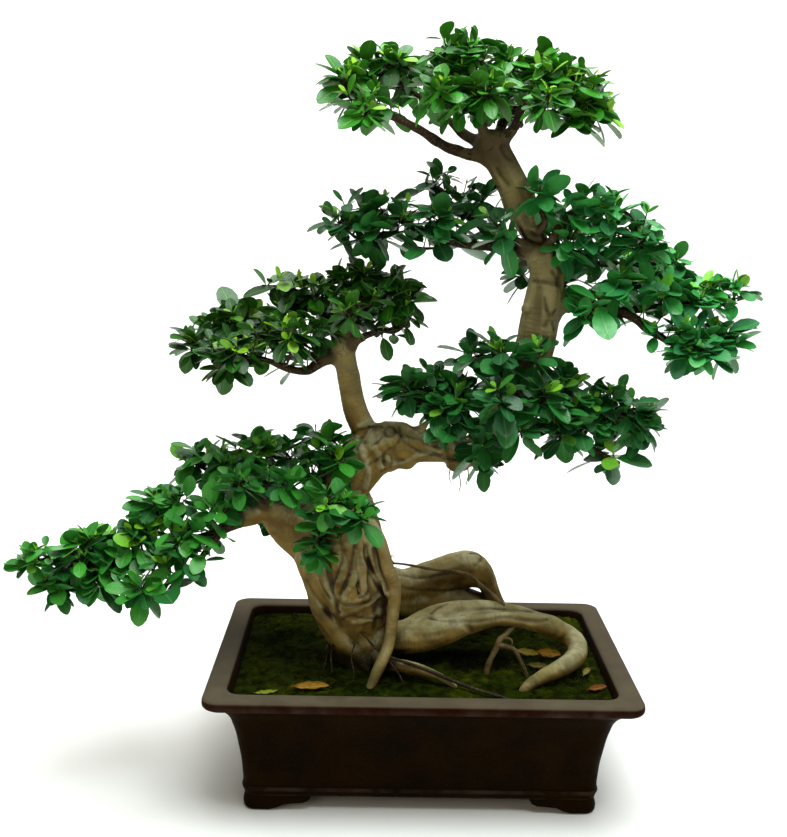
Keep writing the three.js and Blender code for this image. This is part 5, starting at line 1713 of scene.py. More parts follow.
    def nearest(self, points: Array) -> tuple[Array, Array]:
        """The way along the nearest stem or collar and its radius, from the station with the least
        distance less radius. A stem counts as no thinner than the stem's girth.

        Args:
            points: places in millimetres.

        Returns:
            The way and the radius for each point.
        """
        stations, ways, girths = [], [], []
        for order, route in enumerate([self.stations(stem.route) for stem in STEMS] + self.collars()):
            path = smooth_route(route, 3.0)
            steps = np.linalg.norm(np.diff(path[:, :3], axis=0), axis=1)
            stations.append(path)
            ways.append(np.concatenate([[0.0], np.cumsum(steps)]))
            girths.append(np.maximum(path[:, 3], self.stem_girth if order < len(STEMS) else 0.0))
        path, way, girth = np.vstack(stations), np.concatenate(ways), np.concatenate(girths)
        best = []
        for part in np.array_split(points, max(1, len(points) // 4000)):
            square = (part**2).sum(axis=1)[:, None] + (path[:, :3] ** 2).sum(axis=1)[None]
            distance = np.sqrt(np.maximum(square - 2 * part @ path[:, :3].T, 0.0))
            best.append(np.argmin(distance - path[:, 3], axis=1))
        index = np.concatenate(best)
        return way[index], girth[index]


@dataclass(frozen=True)
class LeafShape:
    """A leaf with its stalk, as shares of its length from the stalk to the tip.

    A section is six points round a thin lens: left, middle and right above, then back below. Its
    sides are raised over the midrib and the blade bends down along its length.
    """

    stations: tuple[float, ...] = (0.0, 0.11, 0.23, 0.42, 0.64, 0.83, 0.95, 1.0)
    widths: tuple[float, ...] = (0.05, 0.07, 0.49, 0.87, 1.0, 0.8, 0.43, 0.05)
    thickness: float = 0.55
    shortening: float = 0.12

    def build(self, leaves: dict[str, Array], finish: int) -> Shell:
        """The blades of many leaves at once.

        A point is the base plus its way along the blade, its width share times the half width to
        the side, and over the blade the cup times the side share, less the droop times the square
        of the way, plus or minus half the thickness.

        Args:
            leaves: base, along and over as vectors, and length, width, cup, droop, age and tone.
            finish: the finish's number.

        Returns:
            All blades.
        """
        t, wide = (np.array(row)[:, None] for row in (self.stations, self.widths))
        across = np.array([1.0, 0.0, -1.0, -1.0, 0.0, 1.0])
        layer = np.array([1.0, 1.0, 1.0, -1.0, -1.0, -1.0])
        length, width, cup, droop = (leaves[k][:, None, None] for k in ("length", "width", "cup", "droop"))
        ahead = t * length * (1.0 - self.shortening * droop * t) + 0.0 * across
        aside = across * wide * width * 0.5
        lift = cup * wide * np.abs(across) * width * 0.5
        lift = lift - droop * t**2 * length + layer * self.thickness * 0.5 * np.sqrt(wide)
        over, along = leaves["over"], leaves["along"]
        side = np.cross(over, along)
        points = leaves["base"][:, None, None, :]
        for amount, way in ((ahead, along), (aside, side), (lift, over)):
            points = points + amount[..., None] * way[:, None, None, :]
        shape = points.shape[:3]
        faces = [part[:, ::-1] for part in tube_faces(*shape)]
        age, tone = (leaves[key][:, None, None] for key in ("age", "tone"))
        values = {"across": across, "ahead": t, "age": age, "tone": tone, "below": 1.0 * (layer < 0)}
        values = {key: np.broadcast_to(value, shape).reshape(-1) for key, value in values.items()}
        return Shell(points.reshape(-1, 3), faces, [finish] * 3, values)


@dataclass
class Foliage:
    """One leafy branch: its limbs, twigs, shoots and leaves, in the place of its solid.

    The hubs of its sprays, its twigs and the ends of its limbs follow the same rules as the solids.
    """

    branch: Branch
    seed: int
    leaf_length: float
    leaf_ratio: float = 0.54
    shoot_share: float = 0.43
    limb_reach: float = 45.0
    twig_radius: float = 1.5
    opened: tuple[float, ...] = (20, 40, 58, 72, 80, 86, 90, 90)
    sizes: tuple[float, ...] = (0.34, 0.52, 0.8, 0.97, 1.0, 1.0, 0.96, 0.9)
    nodes: tuple[float, ...] = (0.0, 0.8, 3.2, 7.5, 12.5, 18.5, 25.0, 32.0)
    leaf_room: float = 0.6
    shoot_counts: tuple[int, int] = (5, 20)
    fill_gap: float = 22.0
    fill_clear: float = 16.0
    fill_reach: float = 76.0
    fill_most: int = 5
    bare_start: float = 50.0
    straight: float = 15.0
    fresh_share: float = 0.34
    lost_share: float = 0.05
    large_share: float = 0.16
    large_size: float = 1.22
    leaf: LeafShape = LeafShape()
    bark: int = 0
    green: int = 1

    def __post_init__(self) -> None:
        """Sets up the branch's own row of random numbers."""
        self.random = np.random.default_rng(self.seed)

    def hubs(self) -> Array:
        """The hub of each spray, a little under the middle of its room."""
        sprays = np.array(self.branch.sprays, dtype=float)
        return sprays[:, :3] - 0.2 * sprays[:, 4:5] * UP

    def limb_routes(self) -> list[Array]:
        """The limbs' stations, run on to the nearest hub where one is close to the end."""
        routes = []
        for limb in self.branch.limbs:
            route = np.array(limb, dtype=float)
            gaps = np.linalg.norm(self.hubs() - route[-1, :3], axis=1)
            if gaps.min() < self.limb_reach:
                route[-1] = [*self.hubs()[gaps.argmin()], self.twig_radius]
            routes.append(route)
        return routes

    def limbs(self) -> Shell:
        """The limbs as tubes with knees, swollen nodes and a little wander."""
        shells = []
        for order, route in enumerate(self.limb_routes()):
            path = smooth_route(route, 5.0)
            wander = [value_noise(path[:, :3], 17.0, self.seed + 40 * n) for n in (1, 2, 3)]
            grip = smoothstep(np.arange(len(path)), 0, 4)[:, None]
            path[:, :3] += np.stack(wander, axis=-1) * grip * np.minimum(path[:, 3:], 4.0) * 0.55
            swell = 1.0 + 0.13 * value_noise(path[:, :3], 8.0, self.seed + order)
            shells.append(tubes(path[None, :, :3], (path[:, 3] * swell)[None], 8, self.bark))
        return join_shells(shells)

    def twig_start(self, hub: Array, routes: list[Array]) -> Array:
        """The point of the limbs, with its radius, that a twig to the hub springs from: near the
        hub, a little back towards the trunk."""
        choices = []
        for route in routes:
            for order in range(len(route) - 1):
                for share in (0.35, 0.7):
                    point = route[order] + (route[order + 1] - route[order]) * share
                    cost = np.linalg.norm(point[:3] - hub) + 4.0 * (order + share)
                    choices.append((cost, tuple(point)))
        return np.array(min(choices)[1])

    def twigs(self) -> Shell:
        """The twigs from the limbs to the hubs that no limb ends at."""
        routes = self.limb_routes()
        shells = []
        for hub in self.hubs():
            if any(np.allclose(route[-1, :3], hub) for route in routes):
                continue
            start = self.twig_start(hub, routes)
            reach = np.linalg.norm(hub - start[:3])
            middle = start[:3] + (hub - start[:3]) * 0.65 - 0.25 * reach * UP
            radius = self.twig_radius
            stations = [
                [*start[:3], min(0.8 * start[3], 1.5 * radius)],
                [*middle, 1.2 * radius],
                [*hub, radius],
            ]
            path = smooth_route(np.array(stations), 6.0)
            path[1:-1, :3] += self.random.normal(0.0, 0.7, (len(path) - 2, 3))
            shells.append(tubes(path[None, :, :3], path[None, :, 3], 6, self.bark))
        return join_shells(shells) if shells else Shell(np.zeros((0, 3)), [], [])

    def spray_shoots(self) -> tuple[Array, Array, Array]:
        """The shoots of all sprays, spread over a low dome.

        Each is a golden turn on from the one before, at the root of its share of the dome's area,
        and the dome falls with the square of the way out.

        Returns:
            The hub that each springs from, its tip and its direction.
        """
        roots, tips, ways = [], [], []
        for spray, hub in zip(self.branch.sprays, self.hubs()):
            side, up = spray[3], spray[4]
            reach = max(side - self.leaf_room * self.leaf_length, 10.0)
            room = math.pi * (reach / (self.shoot_share * self.leaf_length)) ** 2
            count = int(np.clip(round(room + 2.0), *self.shoot_counts))
            order = np.arange(count)
            turn = self.random.uniform(0.0, 2 * math.pi) + GOLDEN_TURN * order
            turn = turn + self.random.uniform(-0.35, 0.35, count)
            share = np.sqrt((order + 0.35) / count) * self.random.uniform(0.85, 1.15, count)
            rise = up * (0.55 - 0.6 * share**2 + self.random.uniform(-0.18, 0.18, count))
            level = np.stack([np.cos(turn), np.sin(turn), np.zeros(count)], axis=-1)
            tips.append(hub + level * (reach * share)[:, None] + rise[:, None] * UP)
            lean = (1.2 * share * self.random.uniform(0.6, 1.3, count))[:, None]
            ways.append(unit(level * lean + UP * (0.9 - 0.3 * share[:, None])))
            roots.append(np.repeat(hub[None], count, axis=0))
        return np.vstack(roots), np.vstack(tips), np.vstack(ways)

    def fill_shoots(self) -> tuple[Array, Array, Array]:
        """Short shoots along the leafy stretch of the limbs and between neighbouring hubs.

        Returns:
            The point of the wood that each springs from, its tip and its direction.
        """
        hubs = self.hubs()
        starts, middles = [], []
        for route in self.limb_routes():
            path = smooth_route(route, self.fill_gap)[:, :3]
            away = np.linalg.norm(path[:, None] - hubs[None], axis=-1).min(axis=1)
            gone = np.linalg.norm(path - path[0], axis=1)
            path = path[(away > self.fill_clear) & (away < self.fill_reach) & (gone > self.bare_start)]
            starts.append(path)
            middles.append(path)
        for one in range(len(hubs)):
            for two in range(one):
                count = int(np.linalg.norm(hubs[one] - hubs[two]) / self.fill_gap)
                if count < self.fill_most:
                    share = (np.arange(count) + 0.5)[:, None] / max(count, 1)
                    middles.append(hubs[one] + (hubs[two] - hubs[one]) * share)
                    starts.append(np.where(share < 0.5, hubs[one], hubs[two]))
        start, middle = np.vstack(starts), np.vstack(middles)
        count = len(start)
        turn = self.random.uniform(0, 2 * math.pi, count)
        level = np.stack([np.cos(turn), np.sin(turn), np.zeros(count)], axis=-1)
        tips = middle + level * self.random.uniform(4, 22, (count, 1))
        tips = tips + UP * self.random.uniform(4, 24, (count, 1))
        return start, tips, unit(level * self.random.uniform(0.2, 0.9, (count, 1)) + UP)

    def shoots(self) -> tuple[Array, Array, Array]:
        """All shoots: the point that each springs from, its tip and its direction."""
        groups = zip(self.spray_shoots(), self.fill_shoots())
        return tuple(np.vstack(pair) for pair in groups)

    def shoot_stems(self, roots: Array, tips: Array, ways: Array) -> Shell:
        """The stems of the shoots, each from its hub to its tip, with a bud at the tip."""
        base = tips - ways * self.straight
        paths = np.stack([roots, 0.5 * (roots + base) - 1.5 * UP, base, tips], axis=1)
        radii = np.broadcast_to(np.array([1.35, 1.25, 1.1, 0.8]), paths.shape[:2])
        stems = tubes(paths, radii, 4, self.bark)
        bud = np.stack([tips - ways, tips + 3.0 * ways, tips + 8.0 * ways], axis=1)
        buds = tubes(bud, np.broadcast_to(np.array([0.8, 1.25, 0.15]), bud.shape[:2]), 4, self.green)
        buds.values["age"] = self.random.uniform(0.0, 0.25, len(tips)).repeat(12)
        for key in ("tone", "across", "ahead"):
            buds.values[key] = np.full(len(buds.points), 0.5)
        return join_shells([stems, buds])

    def leaves(self, roots: Array, tips: Array, ways: Array) -> Shell:
        """The leaves of all shoots: each is a golden turn on from the one above it, and from the
        youngest at the tip down they are longer, lower and more open.

        Args:
            roots: the hubs that the shoots spring from.
            tips: the tips of the shoots.
            ways: their directions.

        Returns:
            The blades.
        """
        opened = np.array(self.opened)
        order = np.arange(len(opened))
        shape = (len(tips), len(order))
        random = self.random
        turn = random.uniform(0, 2 * math.pi, (len(tips), 1)) + GOLDEN_TURN * order
        turn = turn + random.uniform(-0.45, 0.45, shape)
        opening = np.radians(opened + random.uniform(-15, 15, shape))
        large = random.random(shape) < self.large_share
        size = np.array(self.sizes) * random.uniform(0.82, 1.12, shape)
        size = size * np.where(large, self.large_size, 1.0) * random.uniform(0.7, 1.14, (len(tips), 1))
        one = unit(np.cross(ways, np.array([0.31, 0.95, 0.05])))
        two = np.cross(ways, one)
        level = one[:, None] * np.cos(turn)[..., None] + two[:, None] * np.sin(turn)[..., None]
        axis = ways[:, None]
        along = level * np.sin(opening)[..., None] + axis * np.cos(opening)[..., None]
        over = axis * np.sin(opening)[..., None] - level * np.cos(opening)[..., None]
        weight = (order / order[-1])[None, :, None]
        along = unit(along - self.random.uniform(0.1, 1.0, (*shape, 1)) * weight * UP)
        over = over + 0.7 * UP + random.normal(0.0, 0.22, (*shape, 3))
        over = unit(over - (over * along).sum(axis=-1, keepdims=True) * along)
        back = np.array(self.nodes) + random.uniform(-0.8, 0.8, shape)
        straight = np.minimum(back, self.straight)
        base = tips[:, None] - axis * straight[..., None]
        inward = roots - (tips - ways * self.straight)
        length = np.linalg.norm(inward, axis=-1, keepdims=True)
        beyond = back - straight
        base = base + inward[:, None] * (beyond / np.maximum(length, 1.0))[..., None]
        fresh = random.random((len(tips), 1)) < self.fresh_share
        age = np.clip(order / 2.6 + random.uniform(-0.2, 0.2, shape) + np.where(fresh, -0.3, 0.4), 0, 1)
        count = random.integers(len(order) - 3, len(order) + 1, (len(tips), 1))
        kept = (order[None, :] < count) & (random.random(shape) > self.lost_share)
        kept &= (beyond < 0.85 * length) & ((order[None, :] > 0) | fresh)
        length = self.leaf_length * size
        leaves = {
            "base": base[kept],
            "along": along[kept],
            "over": over[kept],
            "length": length[kept],
            "width": (length * self.leaf_ratio * random.uniform(0.86, 1.14, shape))[kept],
            "cup": random.uniform(0.05, 0.34, shape)[kept],
            "droop": (random.uniform(0.02, 0.22, shape) * (0.4 + 0.6 * order / order[-1]))[kept],
            "age": age[kept],
            "tone": random.random(shape)[kept],
        }
        return self.leaf.build(leaves, self.green)

    def build(self, bark: bpy.types.Material, green: bpy.types.Material, slot: Slot) -> None:
        """Builds the branch in the place of its solid.

        Args:
            bark: the finish of limbs and twigs.
            green: the finish of the leaves.
            slot: the record's slot of the leaves; not used.
        """
        roots, tips, ways = self.shoots()
        parts = [self.limbs(), self.twigs()]
        parts += [self.shoot_stems(roots, tips, ways), self.leaves(roots, tips, ways)]
        name = self.branch.name
        make_piece(f"leafy_{name}", join_shells(parts), [bark, green], (name,), sharp_angle=50.0)


@dataclass
class Tray:
    """The footed clay tray: its walls with a rolled rim and a bead, its floor and its feet.

    A profile is a row of heights with the insets from the rim's outer face.
    """

    length: float = 600.0
    depth: float = 388.0
    corner: float = 22.0
    corner_steps: int = 10
    side_steps: int = 24
    floor: tuple[float, float] = (21.0, 36.0)
    wall: Route = (
        (21, 51.5), (28, 50), (34, 47.5), (40, 50), (75, 47.5), (118, 40.5), (144, 33.5),
        (160, 23), (169, 10), (173, 0), (185, 0), (187, 3), (187, 28), (184, 31), (150, 43),
        (95, 57), (36, 63), (21, 66),
    )  # fmt: skip
    foot: Route = ((0, 54), (2, 50.6), (6, 49.8), (13, 49.5), (23, 52.5))
    foot_edge: Route = (
        (0, 0), (20, 0), (33, 0), (38, 1.2), (47, 3.5), (58, 9), (72, 10.4), (86, 11.5), (93, 15), (96, 20),
    )  # fmt: skip
    foot_inset: float = 49.5
    foot_wall: float = 26.0
    depth_cut: float = 16.0
    drain_radius: float = 11.0
    drain_place: float = 130.0
    hole_sides: int = 64
    floor_inset: float = 60.0

    def radius(self, inset: Array) -> Array:
        """The radius of the corners, which are sharper further in from the rim."""
        return self.corner - 0.2 * np.maximum(0.0, inset - 30.0)

    def outline(self, inset: Array) -> Array:
        """The tray's outline at one or more insets, from the middle of its right side and round.

        Each quarter is a straight part, a quarter circle and another straight part.

        Args:
            inset: the insets.

        Returns:
            The x and y of each point, for each inset.
        """
        inset = np.asarray(inset, dtype=float)[..., None]
        radius = self.radius(inset)
        far_x, far_y = self.length / 2 - inset - radius, self.depth / 2 - inset - radius
        turn = np.linspace(0.0, math.pi / 2, self.corner_steps + 1)
        share = np.linspace(0.0, 1.0, self.side_steps, endpoint=False)
        x = [far_x + radius + 0 * share, far_x + radius * np.cos(turn), far_x * (1 - share[1:])]
        y = [far_y * share, far_y + radius * np.sin(turn), far_y + radius + 0 * share[1:]]
        quarter = np.stack([np.concatenate(x, axis=-1), np.concatenate(y, axis=-1)], axis=-1)
        left = quarter[..., ::-1, :] * [-1, 1]
        top = np.concatenate([quarter, (quarter[..., -1:, :] * [0, 1]), left], axis=-2)
        bottom = top[..., 1:-1, :][..., ::-1, :] * [1, -1]
        return np.concatenate([top, bottom], axis=-2)

    @staticmethod
    def rounded(profile: Array, rounds: int = 2) -> Array:
        """A closed profile with softened corners: each edge gives the points at one and three
        quarters of it, and so again in each round."""
        for _ in range(rounds):
            after = np.roll(profile, -1, axis=0)
            profile = np.stack([0.75 * profile + 0.25 * after, 0.25 * profile + 0.75 * after], axis=1)
            profile = profile.reshape(-1, 2)
        return profile

    def walls(self) -> Shell:
        """The walls: the profile's loop carried round the outline."""
        loop = np.array(self.wall, dtype=float)
        middles = 0.5 * (loop + np.roll(loop, -1, axis=0))
        long = np.linalg.norm(np.roll(loop, -1, axis=0) - loop, axis=1) > 20.0
        both = np.stack([loop, middles], axis=1).reshape(-1, 2)
        loop = self.rounded(both[np.stack([np.ones_like(long), long], axis=1).reshape(-1)])
        rings = self.outline(loop[:, 1])
        heights = np.broadcast_to(loop[:, 0][:, None, None], (*rings.shape[:2], 1))
        points = np.concatenate([rings, heights], axis=-1)
        before, after = loop - np.roll(loop, 1, axis=0), np.roll(loop, -1, axis=0) - loop
        turn = before[:, 0] * after[:, 1] - before[:, 1] * after[:, 0]
        turn /= np.linalg.norm(before, axis=1) * np.linalg.norm(after, axis=1)
        count = rings.shape[1]
        faces = grid_faces(len(loop) + 1, count, True) % (len(loop) * count)
        # The crease value gives painted shade with grimy stains in the profile's inner corners.
        edge, crease = np.clip(4.0 * turn, 0.0, 1.0), np.clip(-3.0 * turn, 0.0, 1.0)
        values = {"edge": edge, "crease": crease, "inner": smoothstep(loop[:, 1], 25.0, 30.0)}
        values = {name: np.repeat(value, count) for name, value in values.items()}
        return Shell(points.reshape(-1, 3), [faces], [0], values)

    def floors(self) -> list[Shell]:
        """The floor in two halves, each a slab round its drain hole.

        A point goes straight from the hole's circle to the half's outline.
        """
        low, high = self.floor
        shells = []
        outer_x, outer_y = self.length / 2 - self.floor_inset, self.depth / 2 - self.floor_inset
        turn = 2 * math.pi * (np.arange(self.hole_sides) + 0.5) / self.hole_sides
        for sign in (-1, 1):
            middle = np.array([sign * self.drain_place, 0.0])
            hole = middle + self.drain_radius * np.stack([np.cos(turn), np.sin(turn)], axis=-1)
            reach = np.stack([np.cos(turn), np.sin(turn)], axis=-1)
            reach /= np.abs(reach).max(axis=-1, keepdims=True)
            half = np.array([outer_x / 2 + 1.0, outer_y])
            rim = np.array([sign * (outer_x / 2), 0.0]) + reach * half
            share = np.array([0.0, 0.06, 0.3, 0.65, 1.0])[:, None, None]
            flat = hole * (1 - share) + rim * share
            layers = ((flat, low), (flat[::-1], high))
            rows = np.concatenate([np.insert(ring, 2, z, axis=-1) for ring, z in layers])
            faces = grid_faces(len(rows) + 1, self.hole_sides, True) % (len(rows) * self.hole_sides)
            shells.append(Shell(rows.reshape(-1, 3), [faces], [0]))
        return shells

    def corner_path(self, inset: float) -> tuple[Array, Array, Array, Array]:
        """The way round a foot's corner at an inset: a straight part, a quarter circle and another
        straight part, all seen from the corner of the feet's outline.

        Args:
            inset: the inset from the rim.

        Returns:
            The distances from the corner along the tray's length and depth, and the two parts of
            the outward direction.
        """
        radius = float(self.radius(np.array(inset)))
        gap = inset - self.foot_inset
        turn = np.linspace(math.pi / 2, 0.0, self.corner_steps + 1)[1:-1]
        shares = np.linspace(0.0, 1.0, self.side_steps)
        reach_x, reach_y = self.foot_edge[-1][0], self.foot_edge[-1][0] - self.depth_cut
        ahead_x = reach_x + (gap + radius - reach_x) * shares
        ahead_y = gap + radius + (reach_y - gap - radius) * shares
        level, ones, none = (np.full(self.side_steps, value) for value in (gap, 1.0, 0.0))
        along_x = np.concatenate([ahead_x, gap + radius * (1 - np.cos(turn)), level])
        along_y = np.concatenate([level, gap + radius * (1 - np.sin(turn)), ahead_y])
        out_x = np.concatenate([none, np.cos(turn), ones])
        out_y = np.concatenate([ones, np.sin(turn), none])
        return along_x, along_y, out_x, out_y

    def lower_edge(self, along_x: Array, along_y: Array) -> Array:
        """The height of a foot's scalloped lower edge at two distances from its corner."""
        edge = np.array(self.foot_edge, dtype=float)
        heights = [np.interp(way, edge[:, 0], edge[:, 1]) for way in (along_x, along_y + self.depth_cut)]
        return np.maximum(*heights)

    def feet(self) -> list[Shell]:
        """The four feet, each a strip round its corner whose lower edge rises in a scallop.

        A section is the foot's outer profile from the lower edge up, and its inner face down.
        """
        profile = np.array(self.foot, dtype=float)
        top = profile[-1, 0]
        along_x, along_y, out_x, out_y = self.corner_path(self.foot_inset)
        lower = self.lower_edge(along_x, along_y)[:, None]
        heights = lower + (top - lower) * np.array([0.0, 0.05, 0.16, 0.45, 1.0])
        reach = np.interp(heights, profile[:, 0], profile[:, 1]) - self.foot_inset
        reach = np.maximum(reach, np.interp(heights - lower, [0, 1.0, 3.0], [3.0, 0.6, -1.0]))
        x = along_x[:, None] + out_x[:, None] * reach
        y = along_y[:, None] + out_y[:, None] * reach
        inner_x, inner_y, _, _ = self.corner_path(self.foot_inset + self.foot_wall)
        foot = self.lower_edge(inner_x, inner_y)[:, None]
        back = foot + (top - foot) * np.array([1.0, 0.0])
        x = np.concatenate([x, np.repeat(inner_x[:, None], 2, axis=1)], axis=1)
        y = np.concatenate([y, np.repeat(inner_y[:, None], 2, axis=1)], axis=1)
        heights = np.concatenate([heights, back], axis=1)
        rows, columns = heights.shape
        first = np.arange(columns)[None, ::-1]
        last = (rows - 1) * columns + np.arange(columns)[None, :]
        faces = [grid_faces(rows, columns, True), first, last]
        rub = np.zeros_like(heights)
        rub[:, :2] = 1.0
        corner = np.array([self.length / 2, self.depth / 2]) - self.foot_inset
        shells = []
        for sign_x, sign_y in ((1, 1), (-1, 1), (-1, -1), (1, -1)):
            points = np.stack([sign_x * (corner[0] - x), sign_y * (corner[1] - y), heights], axis=-1)
            turned = faces if sign_x * sign_y < 0 else [face[:, ::-1] for face in faces]
            shells.append(Shell(points.reshape(-1, 3), turned, [0] * 3, {"edge": rub.reshape(-1)}))
        return shells

    def build(self, clay: bpy.types.Material) -> None:
        """Builds the tray in the place of its solid."""
        whole = join_shells([self.walls(), *self.floors(), *self.feet()])
        make_piece("footed_tray", whole, [clay], ("pot",), sharp_angle=60.0)


@dataclass
class MossBed:
    """The soil and its moss: a bed that fills the tray, with clumps and upright tufts."""

    tray: Tray
    edge_height: float = 173.0
    rise: float = 8.0
    mound: tuple[tuple[float, float], tuple[float, float]] = ((20.0, 190.0), (5.0, 105.0))
    banks: tuple[tuple[float, float, float, float, float], ...] = (
        (-170.0, 105.0, 90.0, 45.0, 7.0),
        (232.0, 105.0, 45.0, 55.0, 8.0),
    )
    inset: float = 35.6
    bottom: tuple[float, float] = (150.0, 44.0)
    spacing: float = 2.8
    tufts: int = 4600
    blades: int = 6
    seed: int = 5

    def level(self, x: Array, y: Array) -> Array:
        """The soil's height: the edge's, plus the rise times the bell curve of the place in the
        mound, and the same for each bank, given by its middle, its reach and its rise."""
        (middle_x, reach_x), (middle_y, reach_y) = self.mound
        away = ((x - middle_x) / reach_x) ** 2 + ((y - middle_y) / reach_y) ** 2
        total = self.edge_height + self.rise * np.exp(-away)
        for bank_x, bank_y, wide, deep, rise in self.banks:
            total = total + rise * np.exp(-(((x - bank_x) / wide) ** 2) - ((y - bank_y) / deep) ** 2)
        return total

    def height(self, x: Array, y: Array) -> Array:
        """The moss's height: the soil's, plus clumps and fine bumps, and a little less at the
        tray's wall."""
        places = np.stack([x, y, 0.0 * x], axis=-1)
        clumps = np.abs(value_noise(places, 13.0, 3)) * 3.2 + fractal_noise(places, 6.0, 2, 4) * 1.2
        slopes = 2.5 * value_noise(places, 60.0, 6)
        half_x, half_y = self.tray.length / 2 - self.inset, self.tray.depth / 2 - self.inset
        wall = np.minimum(half_x - np.abs(x), half_y - np.abs(y))
        return self.level(x, y) + (clumps + slopes) * smoothstep(wall, -2.0, 12.0) - 1.5

    def bare(self, x: Array, y: Array) -> Array:
        """How far the soil is unmossed and in painted shadow: under the trunk and among the roots, broken
        up by noise.
        """
        away = np.hypot((x + 60.0) / 120.0, (y + 10.0) / 70.0)
        near = np.hypot((x - 90.0) / 90.0, (y + 20.0) / 45.0)
        places = np.stack([x, y, 0.0 * x], axis=-1)
        ragged = 0.45 * fractal_noise(places, 34.0, 3, 8)
        return smoothstep(np.minimum(away, near) + ragged, 1.05, 0.45)

    def surface(self) -> Shell:
        """The bed: a grid whose corner squares are drawn in to quarter circles.

        In a corner square the place is its way from the square's inner corner, times the larger
        of its two shares over its length. The sides run down along the tray's wall.
        """
        half_x, half_y = self.tray.length / 2 - self.inset, self.tray.depth / 2 - self.inset
        radius = float(self.tray.radius(np.array(self.inset)))
        columns, rows = int(2 * half_x / self.spacing), int(2 * half_y / self.spacing)
        x, y = np.meshgrid(np.linspace(-half_x, half_x, columns), np.linspace(-half_y, half_y, rows))
        over_x = np.maximum(np.abs(x) - half_x + radius, 0.0)
        over_y = np.maximum(np.abs(y) - half_y + radius, 0.0)
        length = np.maximum(np.hypot(over_x, over_y), 1e-9)
        share = np.where((over_x > 0) & (over_y > 0), np.maximum(over_x, over_y) / length, 1.0)
        x = np.sign(x) * (np.abs(x) - over_x * (1 - share))
        y = np.sign(y) * (np.abs(y) - over_y * (1 - share))
        z = self.height(x, y)
        top = np.stack([x, y, z], axis=-1).reshape(-1, 3)
        number = np.arange(rows * columns).reshape(rows, columns)
        border = rim_of(number)
        low, inset = self.bottom
        scale = 1.0 - (inset - self.inset) / half_y
        skirt = top[border] * [1.0 - (inset - self.inset) / half_x, scale, 0.0] + [0.0, 0.0, low]
        count, start = len(border), len(top)
        after = np.roll(np.arange(count), -1)
        sides = np.stack([border, start + np.arange(count), start + after, border[after]], axis=-1)
        base = (start + np.arange(count))[None, ::-1]
        tip = 0.6 * smoothstep(top[:, 2] - self.level(top[:, 0], top[:, 1]), -1.5, 5.0)
        values = {
            "tip": np.concatenate([tip, np.zeros(count)]),
            "bare": np.concatenate([self.bare(top[:, 0], top[:, 1]), np.ones(count)]),
        }
        faces = [grid_faces(rows, columns, False), sides, base]
        return Shell(np.vstack([top, skirt]), faces, [0] * 3, values)

    def tuft_blades(self) -> Shell:
        """The tufts: thin pyramids of three sides that lean out from each tuft's middle."""
        random = np.random.default_rng(self.seed)
        half_x, half_y = self.tray.length / 2 - self.inset - 3.0, self.tray.depth / 2 - self.inset - 3.0
        x, y = random.uniform(-half_x, half_x, self.tufts), random.uniform(-half_y, half_y, self.tufts)
        places = np.stack([x, y, 0.0 * x], axis=-1)
        dense = value_noise(places, 24.0, 9) + random.uniform(-0.5, 0.5, self.tufts)
        bend = self.tray.corner
        over = np.hypot(np.maximum(np.abs(x) - half_x + bend, 0), np.maximum(np.abs(y) - half_y + bend, 0))
        kept = (over < bend) & (dense > -0.45) & (self.bare(x, y) < random.uniform(0.2, 0.9, self.tufts))
        middle = np.stack([x, y, self.height(x, y) - 0.6], axis=-1)[kept]
        shape = (len(middle), self.blades)
        turn = random.uniform(0, 2 * math.pi, shape)
        out = np.stack([np.cos(turn), np.sin(turn), np.zeros(shape)], axis=-1)
        start = middle[:, None] + out * random.uniform(0.2, 1.6, shape)[..., None]
        tall = random.uniform(1.6, 4.0, shape) * random.uniform(0.7, 1.2, (len(middle), 1))
        tip = start + out * random.uniform(0.4, 1.8, shape)[..., None] + UP * tall[..., None]
        legs = turn[..., None] + 2 * math.pi * np.arange(3) / 3
        foot = np.stack([np.cos(legs), np.sin(legs), np.zeros(legs.shape)], axis=-1)
        foot = start[:, :, None] + foot * random.uniform(0.35, 0.6, shape)[..., None, None]
        points = np.concatenate([foot, tip[:, :, None]], axis=2).reshape(-1, 3)
        corners = np.array([[0, 1, 3], [1, 2, 3], [2, 0, 3], [2, 1, 0]])
        faces = (np.arange(len(points) // 4)[:, None, None] * 4 + corners).reshape(-1, 3)
        fresh = np.repeat(random.uniform(0.35, 1.0, shape).reshape(-1), 4)
        values = {"tip": fresh * np.tile([0.35, 0.35, 0.35, 1.0], len(points) // 4)}
        return Shell(points, [faces], [0], values)

    def build(self, moss: bpy.types.Material) -> None:
        """Builds the bed in the place of its solid."""
        whole = join_shells([self.surface(), self.tuft_blades()])
        make_piece("moss_bed", whole, [moss], ("soil",))


